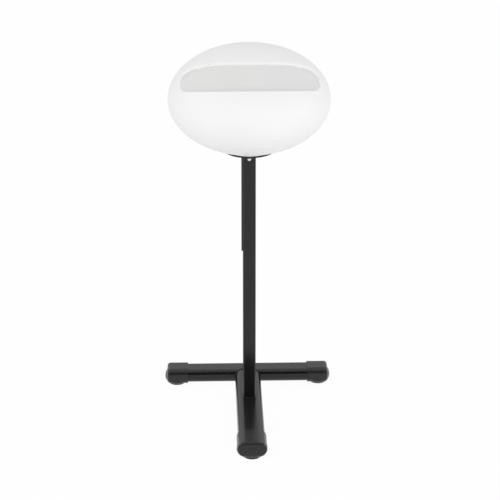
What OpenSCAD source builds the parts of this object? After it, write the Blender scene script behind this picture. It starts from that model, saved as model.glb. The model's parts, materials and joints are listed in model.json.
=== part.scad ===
// Hood hair dryer on a height-adjustable floor stand.
// Millimetres, +Z up. The origin is on the floor, at the middle of the footprint.
// +Y is the client's side, where the mouth of the hood faces. The stylist stands on the -Y side.

/* [Hood] */
// Outer diameter of the hood, seen from above
hood_d = 470; // [440:1:500]
// Outer height of the hood
hood_h = 310; // [296:1:330]
// Wall thickness of the hood shell
shell_t = 4; // [3:0.5:5]
// Height of the hood's centre above the floor at the lowest mast position
hood_z = 998.5; // [960:0.5:1060]

/* [Hand recess] */
// How far each end of the recess lies inside the hood's widest point
recess_end = 37; // [35:1:60]
// Lower edge of the recess, measured square to its cutting direction from the hood's centre
recess_low = 21; // [10:1:30]
// How far the upper edge of the recess, measured the same way, stays below the hood's half height
recess_below = 61; // [57:1:71]
// Angle of the cutting direction above the horizontal
recess_pitch = 17; // [12:1:20]
// Corner radius at the recess's upper corners
recess_top_r = 46; // [30:1:50]
// Corner radius at the recess's lower corners
recess_low_r = 14; // [8:1:20]
// How far the axis of the conical recess floor lies in front of the hood's centre
floor_shift = 75; // [70:1:80]
// How far the floor cone's radius, at the height of the hood's crown, lies inside the hood's widest radius
floor_in = 108.14; // [104:0.02:112]
// Radius that the floor cone loses for each millimetre of height
floor_fall = 1.468; // [1.4:0.004:1.5]

/* [Mouth and bowl] */
// Depth of the mouth's plane inside the hood's skin, along the mouth's direction
mouth_depth = 72.23; // [66:0.01:74]
// Angle that the mouth faces below the horizontal
mouth_pitch = 31.4; // [29:0.2:33]
// Inner radius of the perforated bowl
bowl_r = 120; // [112:1:121]
// Wall thickness of the bowl
bowl_t = 2.5; // [2:0.5:3]
// Distance of the bowl's centre behind the mouth's plane
bowl_deep = 57.15; // [54:0.05:59]
// Height of the bowl's centre above the hood's centre, measured along the mouth's plane
bowl_up = 39.3; // [37:0.1:42]
// Diameter of one air hole in the bowl
air_hole_d = 7; // [5:0.5:9]
// Thickness of the mouth ring's plate
ring_t = 3.5; // [2.5:0.5:5]
// How far the mouth ring lies inside the shell's edge
ring_set = 1.5; // [1:0.5:3]
// Radius of the round opening in the mouth ring
ring_hole_r = 107; // [100:1:107]

/* [Control panel] */
// Direction that the panel faces, turned from the mouth's side towards +X
panel_turn = 58; // [54:1:64]
// How far the panel's seat lies inside the hood's widest radius
panel_in = 12; // [10:0.5:13]
// Thickness of the panel plate
panel_t = 3.5; // [3:0.5:4]
// Diameter of the timer knob
timer_knob_d = 40; // [34:1:42]
// Height of the timer knob
timer_knob_h = 17; // [12:1:20]
// Diameter of the heat knob
heat_knob_d = 30; // [24:1:32]
// Height of the heat knob
heat_knob_h = 14; // [10:1:17]
// Diameter of both knob shafts
knob_shaft_d = 6; // [5:0.5:7]
// Place of the timer knob along the panel, measured from its middle
timer_at = -30; // [-32:1:-28]
// Place of the heat knob along the panel
heat_at = 10; // [8:1:12]
// Place of the power rocker along the panel
rocker_at = 42; // [41:1:44]
// Width of the power rocker
rocker_w = 11; // [9:1:12]
// Height of the power rocker
rocker_h = 20; // [18:1:22]

/* [Fan and heater] */
// Distance of the fan's upright axis behind the bulkhead's front face
fan_gap = 69; // [67:1:71]
// Outer diameter of the impeller
impeller_d = 104; // [90:1:110]
// Height of the impeller
impeller_h = 38; // [30:1:42]
// Outer radius of the round part of the fan housing
scroll_r = 64; // [62:1:66]
// Height of the fan housing
scroll_h = 56; // [52:1:60]
// Height of the fan housing's underside, measured from the hood's centre
scroll_z = -50; // [-54:1:-46]
// Diameter of the fan motor
motor_d = 56; // [48:1:60]
// Height of the fan motor
motor_h = 42; // [36:1:44]
// Gap between the back of the bowl and the bulkhead's front face
bulkhead_gap = 31.1; // [30:0.1:33]
// Thickness of the bulkhead
bulkhead_t = 3; // [2:0.5:4]
// Width of the heater frame
heater_w = 66; // [56:1:70]
// Depth of the heater frame
heater_l = 22; // [16:1:24]

/* [Mast and post] */
// Outer width of the square post
post_w = 38; // [36:1:40]
// Wall thickness of the post
post_t = 2; // [1.5:0.5:2.5]
// Outer corner radius of the post
post_r = 4; // [3:0.5:5]
// Outer width of the sliding mast tube
mast_w = 30; // [28:1:30]
// Wall thickness of the mast tube
mast_t = 2; // [1.5:0.5:2.5]
// Length of the mast tube below the mast plate
mast_len = 331; // [320:1:400]
// Height travel of the mast
mast_travel = 240; // [200:10:240]
// Radius of the round mast plate under the hood
plate_r = 74; // [72:1:78]
// Thickness of the mast plate
plate_t = 4.6; // [4:0.1:6]
// Length of the guide bush in the top of the post
bush_len = 60; // [40:1:60]
// Distance of the guide pin below the post's top
pin_drop = 304; // [300:1:310]
// Diameter of the guide pin
pin_d = 6; // [5:0.5:7]
// Length of the slot cover
cover_len = 311; // [306:1:330]
// Width of the slot cover
cover_w = 14; // [12:1:16]
// How far the slot cover stands off the post
cover_out = 4.1; // [3.5:0.1:5]
// Distance of the lock screw below the post's top
lock_drop = 19; // [14:1:26]
// Diameter of the lock screw's head
lock_head_d = 9.5; // [8:0.5:11]

/* [Swivel] */
// Outer diameter of the hollow spindle
spindle_d = 26; // [22:1:28]
// Bore of the hollow spindle
spindle_bore = 16; // [12:1:18]
// Swivel of the hood to each side, in degrees
swivel_half = 90; // [60:5:90]
// Radius of the circle that the swivel stop pin lies on
stop_r = 36; // [35:1:38]

/* [Base] */
// Width of the flat-oval base tubes
tube_w = 80; // [78:1:84]
// Height of the flat-oval base tubes
tube_h = 40; // [38:1:40]
// Wall thickness of the base tubes
tube_t = 2.5; // [2:0.5:3]
// Height of the base tubes' underside above the floor
tube_lift = 11; // [10:1:14]
// Distance from the post's axis to the cross tube's axis
cross_gap = 211; // [190:1:230]
// Distance from the post's axis to the tip of the front cap
stem_reach = 335; // [320:1:360]
// Overall width of the base
base_w = 518; // [496:2:560]
// Length of the front cap
front_cap_len = 99; // [90:1:110]
// Length of each side cap
side_cap_len = 72; // [68:1:80]
// Wall thickness of the caps
cap_t = 4; // [3:0.5:5]
// Width of the round foot under each cap
foot_w = 91; // [90:1:98]
// Length of the round foot along the tube
foot_l = 74; // [66:1:76]
// Diameter of the rubber glides
glide_d = 54; // [48:1:58]

/* [Mains inlet] */
// Height of the inlet's centre above the floor
inlet_z = 120; // [90:1:200]
// Width of the inlet body
inlet_w = 27; // [26:0.5:27.5]
// Height of the inlet body
inlet_h = 20; // [18:0.5:22]
// Depth of the inlet body inside the post
inlet_depth = 20; // [16:1:22]
// Diameter of the supply lead inside the stand
lead_d = 6; // [5:0.5:7]

/* [Hidden] */

$fn = 96;
// Half-ellipse outlines are drawn with this many straight bands
BANDS = 36;
// Clearance of pieces that slide or turn in one another
RUN = 0.05;
// Clearance of pieces that are fixed in one another
SEAT = 0.15;
// Gap between flat faces that pass each other
FACE = 0.1;

BLACK = [0.10, 0.10, 0.11];
DARK = [0.16, 0.16, 0.17];
WHITE = [0.95, 0.95, 0.95];
GREY = [0.62, 0.63, 0.65];
STEEL = [0.75, 0.76, 0.78];
MICA = [0.80, 0.74, 0.60];
COPPER = [0.78, 0.50, 0.30];

// Stand levels
tube_z = tube_lift + tube_h / 2;
tube_top = tube_lift + tube_h;
base_l = stem_reach + cross_gap + foot_w / 2;
post_y = base_l / 2 - cross_gap - foot_w / 2;
cross_y = post_y + cross_gap;
flange_t = 8;
flange_low = hood_h / 2 - 3.5;
washer_t = 0.7;
plate_top = hood_z - flange_low - washer_t - 2 * FACE;
plate_z = plate_top - plate_t;
bush_flange_t = 1.8;
post_top = plate_z - bush_flange_t - 0.7;
mast_z0 = plate_z - mast_len;
pin_z = post_top - pin_drop;
post_in = post_w - 2 * post_t;
mast_in = mast_w - 2 * mast_t;
slot_w = pin_d + 0.6;
slot_low = pin_z - pin_d / 2 - 1;
slot_high = pin_z + mast_travel + pin_d / 2 + 1;
lock_z = post_top - lock_drop;

// Hood values, all measured from the hood's centre
hood_a = hood_d / 2;
hood_c = hood_h / 2;
in_a = hood_a - shell_t;
in_c = hood_c - shell_t;
plug_top = -flange_low + flange_t;
ttplate_t = 3;
ttplate_r = 56;
ttscrew_r = 49;
bush_r = spindle_d / 2 + 3;
nut_z = plug_top + ttplate_t + 1.5 + 1.2 + 2 * FACE;
nut_h = 9;
spindle_top = nut_z + nut_h + 2;
recess_w = hood_d - 2 * recess_end;
recess_high = hood_c - recess_below;
floor_r = hood_a - floor_in + floor_fall * hood_c;
mouth_d = sqrt(pow(hood_a * cos(mouth_pitch), 2) + pow(hood_c * sin(mouth_pitch), 2)) - mouth_depth;
bowl_y = (mouth_d - bowl_deep) * cos(mouth_pitch) + bowl_up * sin(mouth_pitch);
bowl_drop = (mouth_d - bowl_deep) * sin(mouth_pitch) - bowl_up * cos(mouth_pitch);
panel_seat = hood_a - panel_in;
// Where the mouth's plane cuts the inside of the shell: an ellipse, its middle and half-axes
mouth_qa = pow(sin(mouth_pitch) / in_a, 2) + pow(cos(mouth_pitch) / in_c, 2);
mouth_qb = mouth_d * sin(mouth_pitch) * cos(mouth_pitch) * (1 / pow(in_a, 2) - 1 / pow(in_c, 2));
mouth_qc = pow(mouth_d, 2) * (pow(cos(mouth_pitch) / in_a, 2) + pow(sin(mouth_pitch) / in_c, 2));
mouth_q = 1 - mouth_qc + pow(mouth_qb, 2) / mouth_qa;
mouth_mid = -mouth_qb / mouth_qa;
mouth_half_v = sqrt(mouth_q / mouth_qa);
mouth_half_u = in_a * sqrt(mouth_q);
ring_out = bowl_deep - ring_set;
ring_in = ring_out - ring_t;
bowl_rim = ring_in - FACE;
bowl_out = bowl_r + bowl_t;
collar_deep = 8.5;
collar_r = sqrt(pow(bowl_out, 2) - pow(ring_in - collar_deep, 2)) + 2 * SEAT;
lug_in = 5.7;
lug_turn = 28.6;
lug_low = 1.4;
lug_x = (mouth_half_u - lug_in) * cos(lug_turn);
lug_v = (mouth_half_v - lug_in) * sin(lug_turn);
bulkhead_y = bowl_out - bowl_y + bulkhead_gap;
fan_back = bulkhead_y + fan_gap;
floor_wall = shell_t * sqrt(1 + pow(floor_fall, 2));
panel_face = panel_seat + panel_t;
scroll_t = 2;
outlet_x0 = 4;
outlet_w = scroll_r - outlet_x0;
motor_z = scroll_z - motor_h;
shaft_d = 6;
bracket_t = 2.5;
// Middle of the air intake: it lies outside the mast plate and behind the bulkhead
intake_r = max(plate_r + 15, bulkhead_y + bulkhead_t + 27);
grommet_x = -44;
grommet_z = -108;

// ---------- shared shapes ----------

// Upright spheroid with the given half-width and half-height
module spheroid(a, c) {
    rotate_extrude($fn = 128)
        polygon([for (i = [0 : BANDS]) let (t = -90 + 180 * i / BANDS) [a * cos(t), c * sin(t)]]);
}

// Square with rounded corners, centred
module soft_square(w, r) {
    square([w, w - 2 * r], center = true);
    square([w - 2 * r, w], center = true);
    for (x = [-1, 1], y = [-1, 1])
        translate([x * (w / 2 - r), y * (w / 2 - r)]) circle(r, $fn = 48);
}

// Rectangle with rounded corners, centred
module soft_rect(w, h, r) {
    square([w, h - 2 * r], center = true);
    square([w - 2 * r, h], center = true);
    for (x = [-1, 1], y = [-1, 1])
        translate([x * (w / 2 - r), y * (h / 2 - r)]) circle(r, $fn = 32);
}

// Flat-oval outline with half-round sides
module flat_oval(w, h) {
    square([w - h, h], center = true);
    for (x = [-1, 1]) translate([x * (w - h) / 2, 0]) circle(h / 2);
}

module ring(r_out, r_in, h) {
    difference() {
        cylinder(r = r_out, h = h);
        translate([0, 0, -1]) cylinder(r = r_in, h = h + 2);
    }
}

// Round tube swept along points, closed at both ends
function unit(v) = v / norm(v);
function heading(p, i) = unit(p[min(i + 1, len(p) - 1)] - p[max(i - 1, 0)]);
function side_of(t) = abs(t[0]) < 0.9 ? unit(cross(t, [1, 0, 0])) : unit(cross(t, [0, 1, 0]));
module swept(p, d, sides = 10) {
    n = len(p);
    rings = [for (i = [0 : n - 1]) let (t = heading(p, i), u = side_of(t), v = cross(t, u))
        for (k = [0 : sides - 1]) let (g = 360 * k / sides)
            p[i] + d / 2 * (cos(g) * u + sin(g) * v)];
    walls = [for (i = [0 : n - 2], k = [0 : sides - 1]) let (j = (k + 1) % sides)
        each [[i * sides + k, (i + 1) * sides + k, (i + 1) * sides + j],
              [i * sides + k, (i + 1) * sides + j, i * sides + j]]];
    ends = [for (k = [1 : sides - 2]) each [[0, k, k + 1],
        [(n - 1) * sides, (n - 1) * sides + k + 1, (n - 1) * sides + k]]];
    polyhedron(points = rings, faces = concat(walls, ends), convexity = 4);
}

module at_post() { translate([0, post_y, 0]) children(); }
module at_hood() { translate([0, post_y, hood_z]) children(); }
// Frame of the mouth: Z points out of the mouth from the bowl's centre
module at_mouth() {
    translate([0, bowl_y, -bowl_drop]) rotate([-90 - mouth_pitch, 0, 0]) children();
}
// Frame of the control panel: Z points out of the panel, X runs along it
module at_panel() { rotate([0, 0, -panel_turn]) rotate([-90, 0, 0]) children(); }
// Frame of the fan: Z is its axis
module at_fan() { translate([0, -fan_back, 0]) children(); }

// ---------- base ----------

module oval_along_y(w, h, y0, y1) {
    translate([0, y1, tube_z]) rotate([90, 0, 0]) linear_extrude(y1 - y0) flat_oval(w, h);
}

module oval_along_x(w, h, x0, x1) {
    translate([x0, cross_y, tube_z]) rotate([90, 0, 90]) linear_extrude(x1 - x0) flat_oval(w, h);
}

tube_stop = 14;
stem_y0 = post_y - stem_reach + tube_stop;
cross_x1 = base_w / 2 - tube_stop;

module stem_tube() color(BLACK) difference() {
    oval_along_y(tube_w, tube_h, stem_y0, cross_y);
    oval_along_y(tube_w - 2 * tube_t, tube_h - 2 * tube_t, stem_y0 - 1, cross_y + 1);
    oval_along_x(tube_w, tube_h, -tube_w, tube_w);
}

module cross_tube() color(BLACK) difference() {
    oval_along_x(tube_w, tube_h, -cross_x1, cross_x1);
    oval_along_x(tube_w - 2 * tube_t, tube_h - 2 * tube_t, -cross_x1 - 1, cross_x1 + 1);
}

weld = 2.6;

module post_weld() color(BLACK) difference() {
    translate([0, post_y, tube_top]) linear_extrude(weld) soft_square(post_w + 2 * weld, post_r + weld);
    translate([0, post_y, tube_top - 1]) linear_extrude(weld + 2) soft_square(post_w, post_r);
}

module cross_weld() color(BLACK) difference() {
    intersection() {
        oval_along_y(tube_w + 2 * weld, tube_h + 2 * weld, cross_y - tube_w, cross_y);
        oval_along_x(tube_w + 2 * weld, tube_h + 2 * weld, -tube_w, tube_w);
    }
    oval_along_y(tube_w, tube_h, cross_y - tube_w - 1, cross_y + 1);
    oval_along_x(tube_w, tube_h, -tube_w - 1, tube_w + 1);
    translate([-tube_w, cross_y - (tube_w - tube_h) / 2, 0]) cube([2 * tube_w, tube_w, 2 * tube_top]);
}

// Cap with its tip at x = 0, its sleeve towards -X and the tube's axis at z = 0
cap_round = 12;
sleeve_tip = 7;
foot_z = tube_lift - tube_z - tube_lift;
glide_h = 7;
// The glide's stud ends just under the tube
stud_h = tube_lift - glide_h - 0.8;
// The foot's widest level, below the tube's axis
foot_belly = 9;

module sleeve_outline(len) {
    r = tube_h / 2 + cap_t;
    polygon(concat([[0, 0], [r, 0]],
        [for (g = [0 : 15 : 90]) [r - cap_round + cap_round * cos(g), len - cap_round + cap_round * sin(g)]],
        [[0, len]]));
}

module sleeve(len) {
    half = (tube_w - tube_h) / 2;
    translate([-len - sleeve_tip, 0, 0]) rotate([0, 90, 0]) {
        for (s = [-1, 1]) translate([0, s * half, 0]) rotate_extrude() sleeve_outline(len);
        for (m = [0, 1]) mirror([m, 0, 0])
            translate([0, half, 0]) rotate([90, 0, 0]) linear_extrude(2 * half) sleeve_outline(len);
    }
}

// Round foot below the cap, oval in plan: it bellies out below the sleeve and draws in to the glide
module foot_bowl() {
    r = foot_w / 2;
    rim = glide_d / 2 + 4;
    low = -tube_z + glide_h;
    high = tube_h / 2 - 2;
    translate([-foot_l / 2, 0, 0]) scale([foot_l / foot_w, 1, 1]) rotate_extrude($fn = 64)
        polygon(concat([[0, low], [rim, low]],
            [for (g = [-75 : 15 : 0])
                [rim + (r - rim) * cos(g), -foot_belly + (-foot_belly - low) * sin(g)]],
            [for (g = [15 : 15 : 60]) [r * 0.55 + r * 0.45 * cos(g), -foot_belly + (high + foot_belly) * sin(g)]],
            [[r * 0.66, high], [0, high]]));
}

module cap(len) {
    color(DARK) difference() {
        union() {
            sleeve(len - sleeve_tip);
            foot_bowl();
        }
        translate([-len - 20, 0, 0]) rotate([90, 0, 90])
            linear_extrude(len + 20 - tube_stop + SEAT) flat_oval(tube_w + 2 * SEAT, tube_h + 2 * SEAT);
        translate([-foot_l / 2, 0, -tube_z + glide_h - 1]) cylinder(r = 6 + SEAT, h = stud_h + 1 + SEAT);
    }
}

module glide() {
    color(BLACK) translate([-foot_l / 2, 0, -tube_z]) rotate_extrude()
        polygon([[0, 0], [glide_d / 2 - 2, 0], [glide_d / 2, 2], [glide_d / 2, glide_h],
            [6, glide_h], [6, glide_h + stud_h], [0, glide_h + stud_h]]);
}

module at_front_tip() { translate([0, post_y - stem_reach, tube_z]) rotate([0, 0, -90]) children(); }
module at_side_tip(s) {
    translate([s * base_w / 2, cross_y, tube_z]) rotate([0, 0, s > 0 ? 0 : 180]) children();
}

module cap_front() at_front_tip() cap(front_cap_len);
module cap_left() at_side_tip(-1) cap(side_cap_len);
module cap_right() at_side_tip(1) cap(side_cap_len);
module glide_front() at_front_tip() glide();
module glide_left() at_side_tip(-1) glide();
module glide_right() at_side_tip(1) glide();

// ---------- post ----------

insert_r = 4.2;
lock_shank_d = 5;

module post_tube() color(BLACK) at_post() difference() {
    translate([0, 0, tube_top]) linear_extrude(post_top - tube_top) soft_square(post_w, post_r);
    translate([0, 0, tube_top - 1]) linear_extrude(post_top - tube_top + 2)
        soft_square(post_in, post_r - post_t);
    // Slot for the guide pin
    hull() for (z = [slot_low + slot_w / 2, slot_high - slot_w / 2])
        translate([-post_w / 2 - 1, 0, z]) rotate([0, 90, 0]) cylinder(d = slot_w, h = post_t + 2, $fn = 32);
    // Hole for the lock insert
    translate([0, -post_w / 2 - 1, lock_z]) rotate([-90, 0, 0]) cylinder(r = insert_r, h = post_t + 2);
    // Window for the mains inlet
    translate([-inlet_w / 2 - SEAT, post_w / 2 - post_t - 1, inlet_z - inlet_h / 2 - SEAT])
        cube([inlet_w + 2 * SEAT, post_t + 2, inlet_h + 2 * SEAT]);
}

module guide_bush() color(DARK) at_post() difference() {
    union() {
        translate([0, 0, post_top - bush_len]) linear_extrude(bush_len)
            soft_square(post_in - 2 * RUN, post_r - post_t);
        translate([0, 0, post_top]) linear_extrude(bush_flange_t) soft_square(post_w - 0.8, post_r);
    }
    translate([0, 0, post_top - bush_len - 1]) linear_extrude(bush_len + 4)
        soft_square(mast_w + 2 * FACE, 3 + FACE);
    translate([0, 0, lock_z]) rotate([90, 0, 0]) cylinder(r = pad_r + RUN, h = post_w);
}

// Channel profile that covers the slot, chamfered at its lower end
cover_wall = 1.7;
cover_bevel = 3;
module slot_cover() color(BLACK) at_post() difference() {
    translate([-post_w / 2 - cover_out, -cover_w / 2, post_top - cover_len])
        cube([cover_out, cover_w, cover_len]);
    translate([-post_w / 2 - cover_out + cover_wall, -cover_w / 2 + cover_wall, slot_low - 1])
        cube([cover_out, cover_w - 2 * cover_wall, post_top - slot_low + 2]);
    translate([-post_w / 2 - cover_out, -cover_w, post_top - cover_len]) rotate([0, 45, 0])
        cube([cover_bevel, 2 * cover_w, cover_bevel], center = false);
}

pad_r = 3.6;
pad_t = (post_in - mast_w) / 2 - 2 * FACE;

module lock_insert() color(STEEL) at_post() translate([0, -post_w / 2, lock_z]) rotate([90, 0, 0])
    difference() {
        union() {
            translate([0, 0, -post_t]) cylinder(r = insert_r - RUN, h = post_t);
            cylinder(r = lock_head_d / 2 + 0.6, h = 0.6);
        }
        translate([0, 0, -post_t - 1]) cylinder(d = lock_shank_d + 2 * RUN, h = post_t + 3);
    }

module lock_pad() color(COPPER) at_post()
    translate([0, -mast_w / 2 - FACE, lock_z]) rotate([90, 0, 0]) cylinder(r = pad_r, h = pad_t);

// Domed screw with a hexagon socket
module lock_screw() color(STEEL) at_post() translate([0, -post_w / 2 - 0.7, lock_z]) rotate([90, 0, 0])
    difference() {
        union() {
            rotate_extrude() polygon(concat([[0, 0]],
                [for (g = [0 : 10 : 60]) [lock_head_d / 2 * cos(g), 3.2 * sin(g)]],
                [[0, 3.2 * sin(60)]]));
            translate([0, 0, -post_t - 0.6]) cylinder(d = lock_shank_d, h = post_t + 1);
        }
        translate([0, 0, 1.2]) cylinder(d = 3.5, h = 4, $fn = 6);
    }

// Three-pole inlet: recessed socket with a flange outside the post
inlet_flange = 2;
module inlet_body() color(BLACK) at_post() translate([0, post_w / 2, inlet_z]) rotate([-90, 0, 0])
    difference() {
        union() {
            translate([0, 0, -inlet_depth])
                linear_extrude(inlet_depth) square([inlet_w, inlet_h], center = true);
            linear_extrude(inlet_flange) soft_rect(inlet_w + 3.5, inlet_h + 8, 2);
        }
        translate([0, 0, -inlet_depth + 3]) linear_extrude(inlet_depth + inlet_flange)
            soft_rect(inlet_w - 4, inlet_h - 4, 2.5);
        for (x = [-1, 0, 1]) translate([7 * x, 2 * (1 - abs(x)), -inlet_depth - 1])
            linear_extrude(6) square([2.2, 4.2], center = true);
    }

module inlet_pins() color(STEEL) at_post() translate([0, post_w / 2, inlet_z]) rotate([-90, 0, 0])
    for (x = [-1, 0, 1]) translate([7 * x, 2 * (1 - abs(x)), -inlet_depth - 6])
        linear_extrude(20) square([2, 4], center = true);

// Curled lead between the inlet and the moving mast, as a plain cylinder of its outer size
curl_d = 22;
curl_low = inlet_z + 26;
module post_lead() color(DARK) at_post() difference() {
    translate([0, 0, curl_low]) cylinder(d = curl_d, h = shoe_z - curl_low);
    translate([0, 0, curl_low - 1]) cylinder(d = curl_d - 2 * lead_d, h = shoe_z - curl_low + 2);
}

// ---------- mast ----------

shoe_h = 36;
shoe_z = mast_z0 - shoe_h;

module mast_tube() color(BLACK) at_post() difference() {
    translate([0, 0, mast_z0]) linear_extrude(mast_len) soft_square(mast_w, 3);
    translate([0, 0, mast_z0 - 1]) linear_extrude(mast_len + 2) soft_square(mast_in, 3 - mast_t + 0.5);
    translate([-mast_w / 2 - 1, 0, pin_z]) rotate([0, 90, 0]) cylinder(d = pin_d + 2 * RUN, h = mast_t + 2);
}

module mast_shoe() color(DARK) at_post() difference() {
    union() {
        translate([0, 0, shoe_z]) linear_extrude(shoe_h) soft_square(post_in - 2 * SEAT, post_r - post_t);
        translate([0, 0, mast_z0]) linear_extrude(12) soft_square(mast_in - 2 * SEAT, 2);
    }
    translate([0, 0, shoe_z - 1]) cylinder(d = lead_d + 4, h = shoe_h + 20);
}

module mast_plate() color(BLACK) at_post() difference() {
    translate([0, 0, plate_z]) rotate_extrude($fn = 128)
        polygon([[0, 0], [plate_r - 1, 0], [plate_r, 1], [plate_r, plate_t - 1], [plate_r - 1, plate_t],
            [0, plate_t]]);
    translate([0, 0, plate_z - 1]) cylinder(r = 10 + RUN, h = plate_t + 2);
    translate([0, -stop_r, plate_z - 1]) cylinder(r = 3 + RUN, h = plate_t + 2);
}

module guide_pin() color(STEEL) at_post() translate([-mast_in / 2, 0, pin_z]) rotate([0, -90, 0]) {
    cylinder(d = pin_d, h = post_w / 2 - mast_in / 2 + 1.6);
    translate([0, 0, -1.6]) cylinder(d = pin_d + 4, h = 1.6);
}

module swivel_spindle() color(STEEL) at_post() difference() {
    union() {
        translate([0, 0, plate_z]) cylinder(r = 10, h = plate_t + 1);
        translate([0, 0, plate_top]) cylinder(d = spindle_d, h = hood_z + spindle_top - plate_top);
    }
    translate([0, 0, plate_z - 1]) cylinder(d = spindle_bore, h = 60);
}

stop_up = 3.4;
module stop_pin() color(STEEL) at_post()
    translate([0, -stop_r, plate_z]) cylinder(r = 3, h = plate_t + washer_t + 2 * FACE + stop_up);

module retaining_nut() color(STEEL) at_hood() translate([0, 0, nut_z]) difference() {
    cylinder(d = spindle_d + 20, h = nut_h, $fn = 6);
    translate([0, 0, -1]) cylinder(d = spindle_d + 2 * RUN, h = nut_h + 2);
}

module mast_lead() color(DARK) at_post()
    translate([0, 0, shoe_z]) cylinder(d = lead_d, h = hood_z + spindle_top - shoe_z);

// ---------- hood shell ----------

// Outline of the hand recess, seen along its cutting direction
module recess_outline(grow) {
    half = recess_w / 2;
    lean = recess_top_r - recess_low_r;
    polygon(concat(
        [for (g = [180 : 15 : 270]) [-half + recess_low_r, recess_low + recess_low_r]
            + (recess_low_r + grow) * [cos(g), sin(g)]],
        [for (g = [270 : 15 : 360]) [half - recess_low_r, recess_low + recess_low_r]
            + (recess_low_r + grow) * [cos(g), sin(g)]],
        [for (g = [0 : 9 : 90]) [half - recess_top_r, recess_high - recess_top_r]
            + (recess_top_r + grow) * [cos(g), sin(g)]],
        [for (g = [90 : 9 : 180]) [-half + recess_top_r, recess_high - recess_top_r]
            + (recess_top_r + grow) * [cos(g), sin(g)]]));
}

// Space of the recess: grow widens it on every side, for the wall behind it
module recess_space(grow) difference() {
    rotate([90 - recess_pitch, 0, 0]) linear_extrude(hood_d) recess_outline(grow);
    translate([0, floor_shift, 0])
        cylinder(r1 = floor_r - grow / shell_t * floor_wall, r2 = 0,
            h = (floor_r - grow / shell_t * floor_wall) / floor_fall);
}

// Everything past a plane that faces the panel's way
module past_panel(from) {
    at_panel() translate([-hood_a, -hood_a, from]) cube([hood_d, hood_d, hood_a]);
}

// Everything past a plane that faces the mouth's way, measured from the bowl's centre
module past_mouth(from) {
    at_mouth() translate([-hood_a, -hood_a, from]) cube([hood_d, hood_d, hood_a]);
}

// Places of the mouth screws in the mouth's own frame
lug_y0 = mouth_mid - lug_low - bowl_up;
lug_places = [for (x = [-1, 1], v = [-1, 1]) [x * lug_x, -(lug_y0 + v * lug_v)]];
lug_deep = 14;
rib_l = hood_a - lug_x - 21;

module hood_cavity() difference() {
    spheroid(in_a, in_c);
    translate([0, 0, -hood_c]) cylinder(r = plate_r + 2, h = hood_c + plug_top);
    recess_space(shell_t);
    at_mouth() for (p = lug_places) translate([p[0], p[1], ring_in - FACE - lug_deep]) {
        cylinder(r = 7, h = lug_deep);
        // Rib from the screw boss out to the shell
        translate([p[0] > 0 ? 0 : -rib_l, -3, 0]) cube([rib_l, 6, lug_deep]);
    }
    at_panel() for (p = panel_screw_places) translate([p[0], p[1], panel_seat - 8]) cylinder(r = 5, h = 8);
}

intake_slots = 7;
module hood_shell() color(WHITE) at_hood() difference() {
    union() {
        spheroid(hood_a, hood_c);
        translate([0, 0, -flange_low]) cylinder(r = plate_r, h = flange_t);
    }
    hood_cavity();
    recess_space(0);
    past_mouth(bowl_deep);
    past_panel(panel_seat);
    // Flat underside, and the bush's bore through it
    translate([0, 0, -hood_c - 10]) cylinder(r = hood_a, h = hood_c + 10 - flange_low);
    translate([0, 0, -hood_c]) cylinder(r = bush_r + RUN, h = hood_c);
    // Groove for the stop pin
    translate([0, 0, -flange_low - 1]) rotate([0, 0, -90 - swivel_half - 7])
        rotate_extrude(angle = 2 * swivel_half + 14)
            translate([stop_r - 3.4, 0]) square([6.8, stop_up + 1.8]);
    // Screw holes of the turntable plate
    for (g = [45 : 90 : 315]) rotate([0, 0, g]) translate([ttscrew_r, 0, plug_top - 6]) cylinder(r = 2.02, h = 7);
    // Air intake slots in the underside
    for (i = [0 : intake_slots - 1]) rotate([0, 0, -90 + 9.5 * (i - (intake_slots - 1) / 2)])
        translate([intake_r - 10, -3.5, -hood_c]) cube([20, 7, 40]);
    at_mouth() for (p = lug_places) translate([p[0], p[1], ring_in - 11]) cylinder(r = 1.7, h = 12);
    at_panel() for (p = panel_screw_places) translate([p[0], p[1], panel_seat - 6]) cylinder(r = 1.3, h = 7);
}

// ---------- swivel parts in the hood ----------

module swivel_bush() color(DARK) at_hood() translate([0, 0, -flange_low]) difference() {
    union() {
        cylinder(r = bush_r, h = flange_t + ttplate_t + 1);
        translate([0, 0, flange_t + ttplate_t]) cylinder(r = bush_r + 4, h = 1.5);
    }
    translate([0, 0, -1]) cylinder(d = spindle_d + 2 * RUN, h = 40);
}

module thrust_washer() color(GREY) at_post()
    translate([0, 0, plate_top + FACE]) ring(plate_r - 2.5, plate_r - 18, washer_t);

module friction_washer() color(STEEL) at_hood()
    translate([0, 0, plug_top + ttplate_t + 1.5 + FACE]) ring(bush_r + 5, spindle_d / 2 + RUN, 1.2);

module turntable_plate() color(STEEL) at_hood() translate([0, 0, plug_top]) difference() {
    cylinder(r = ttplate_r, h = ttplate_t);
    translate([0, 0, -1]) cylinder(r = bush_r + RUN, h = ttplate_t + 2);
    for (g = [45 : 90 : 315]) rotate([0, 0, g]) translate([ttscrew_r, 0, -1]) cylinder(r = 2.3, h = ttplate_t + 2);
}

module turntable_screws() color(STEEL) at_hood()
    for (g = [45 : 90 : 315]) rotate([0, 0, g]) translate([ttscrew_r, 0, plug_top + ttplate_t]) {
        translate([0, 0, -8]) cylinder(r = 2, h = 9);
        cylinder(r = 4.2, h = 2.6);
    }

// ---------- mouth and bowl ----------

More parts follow.
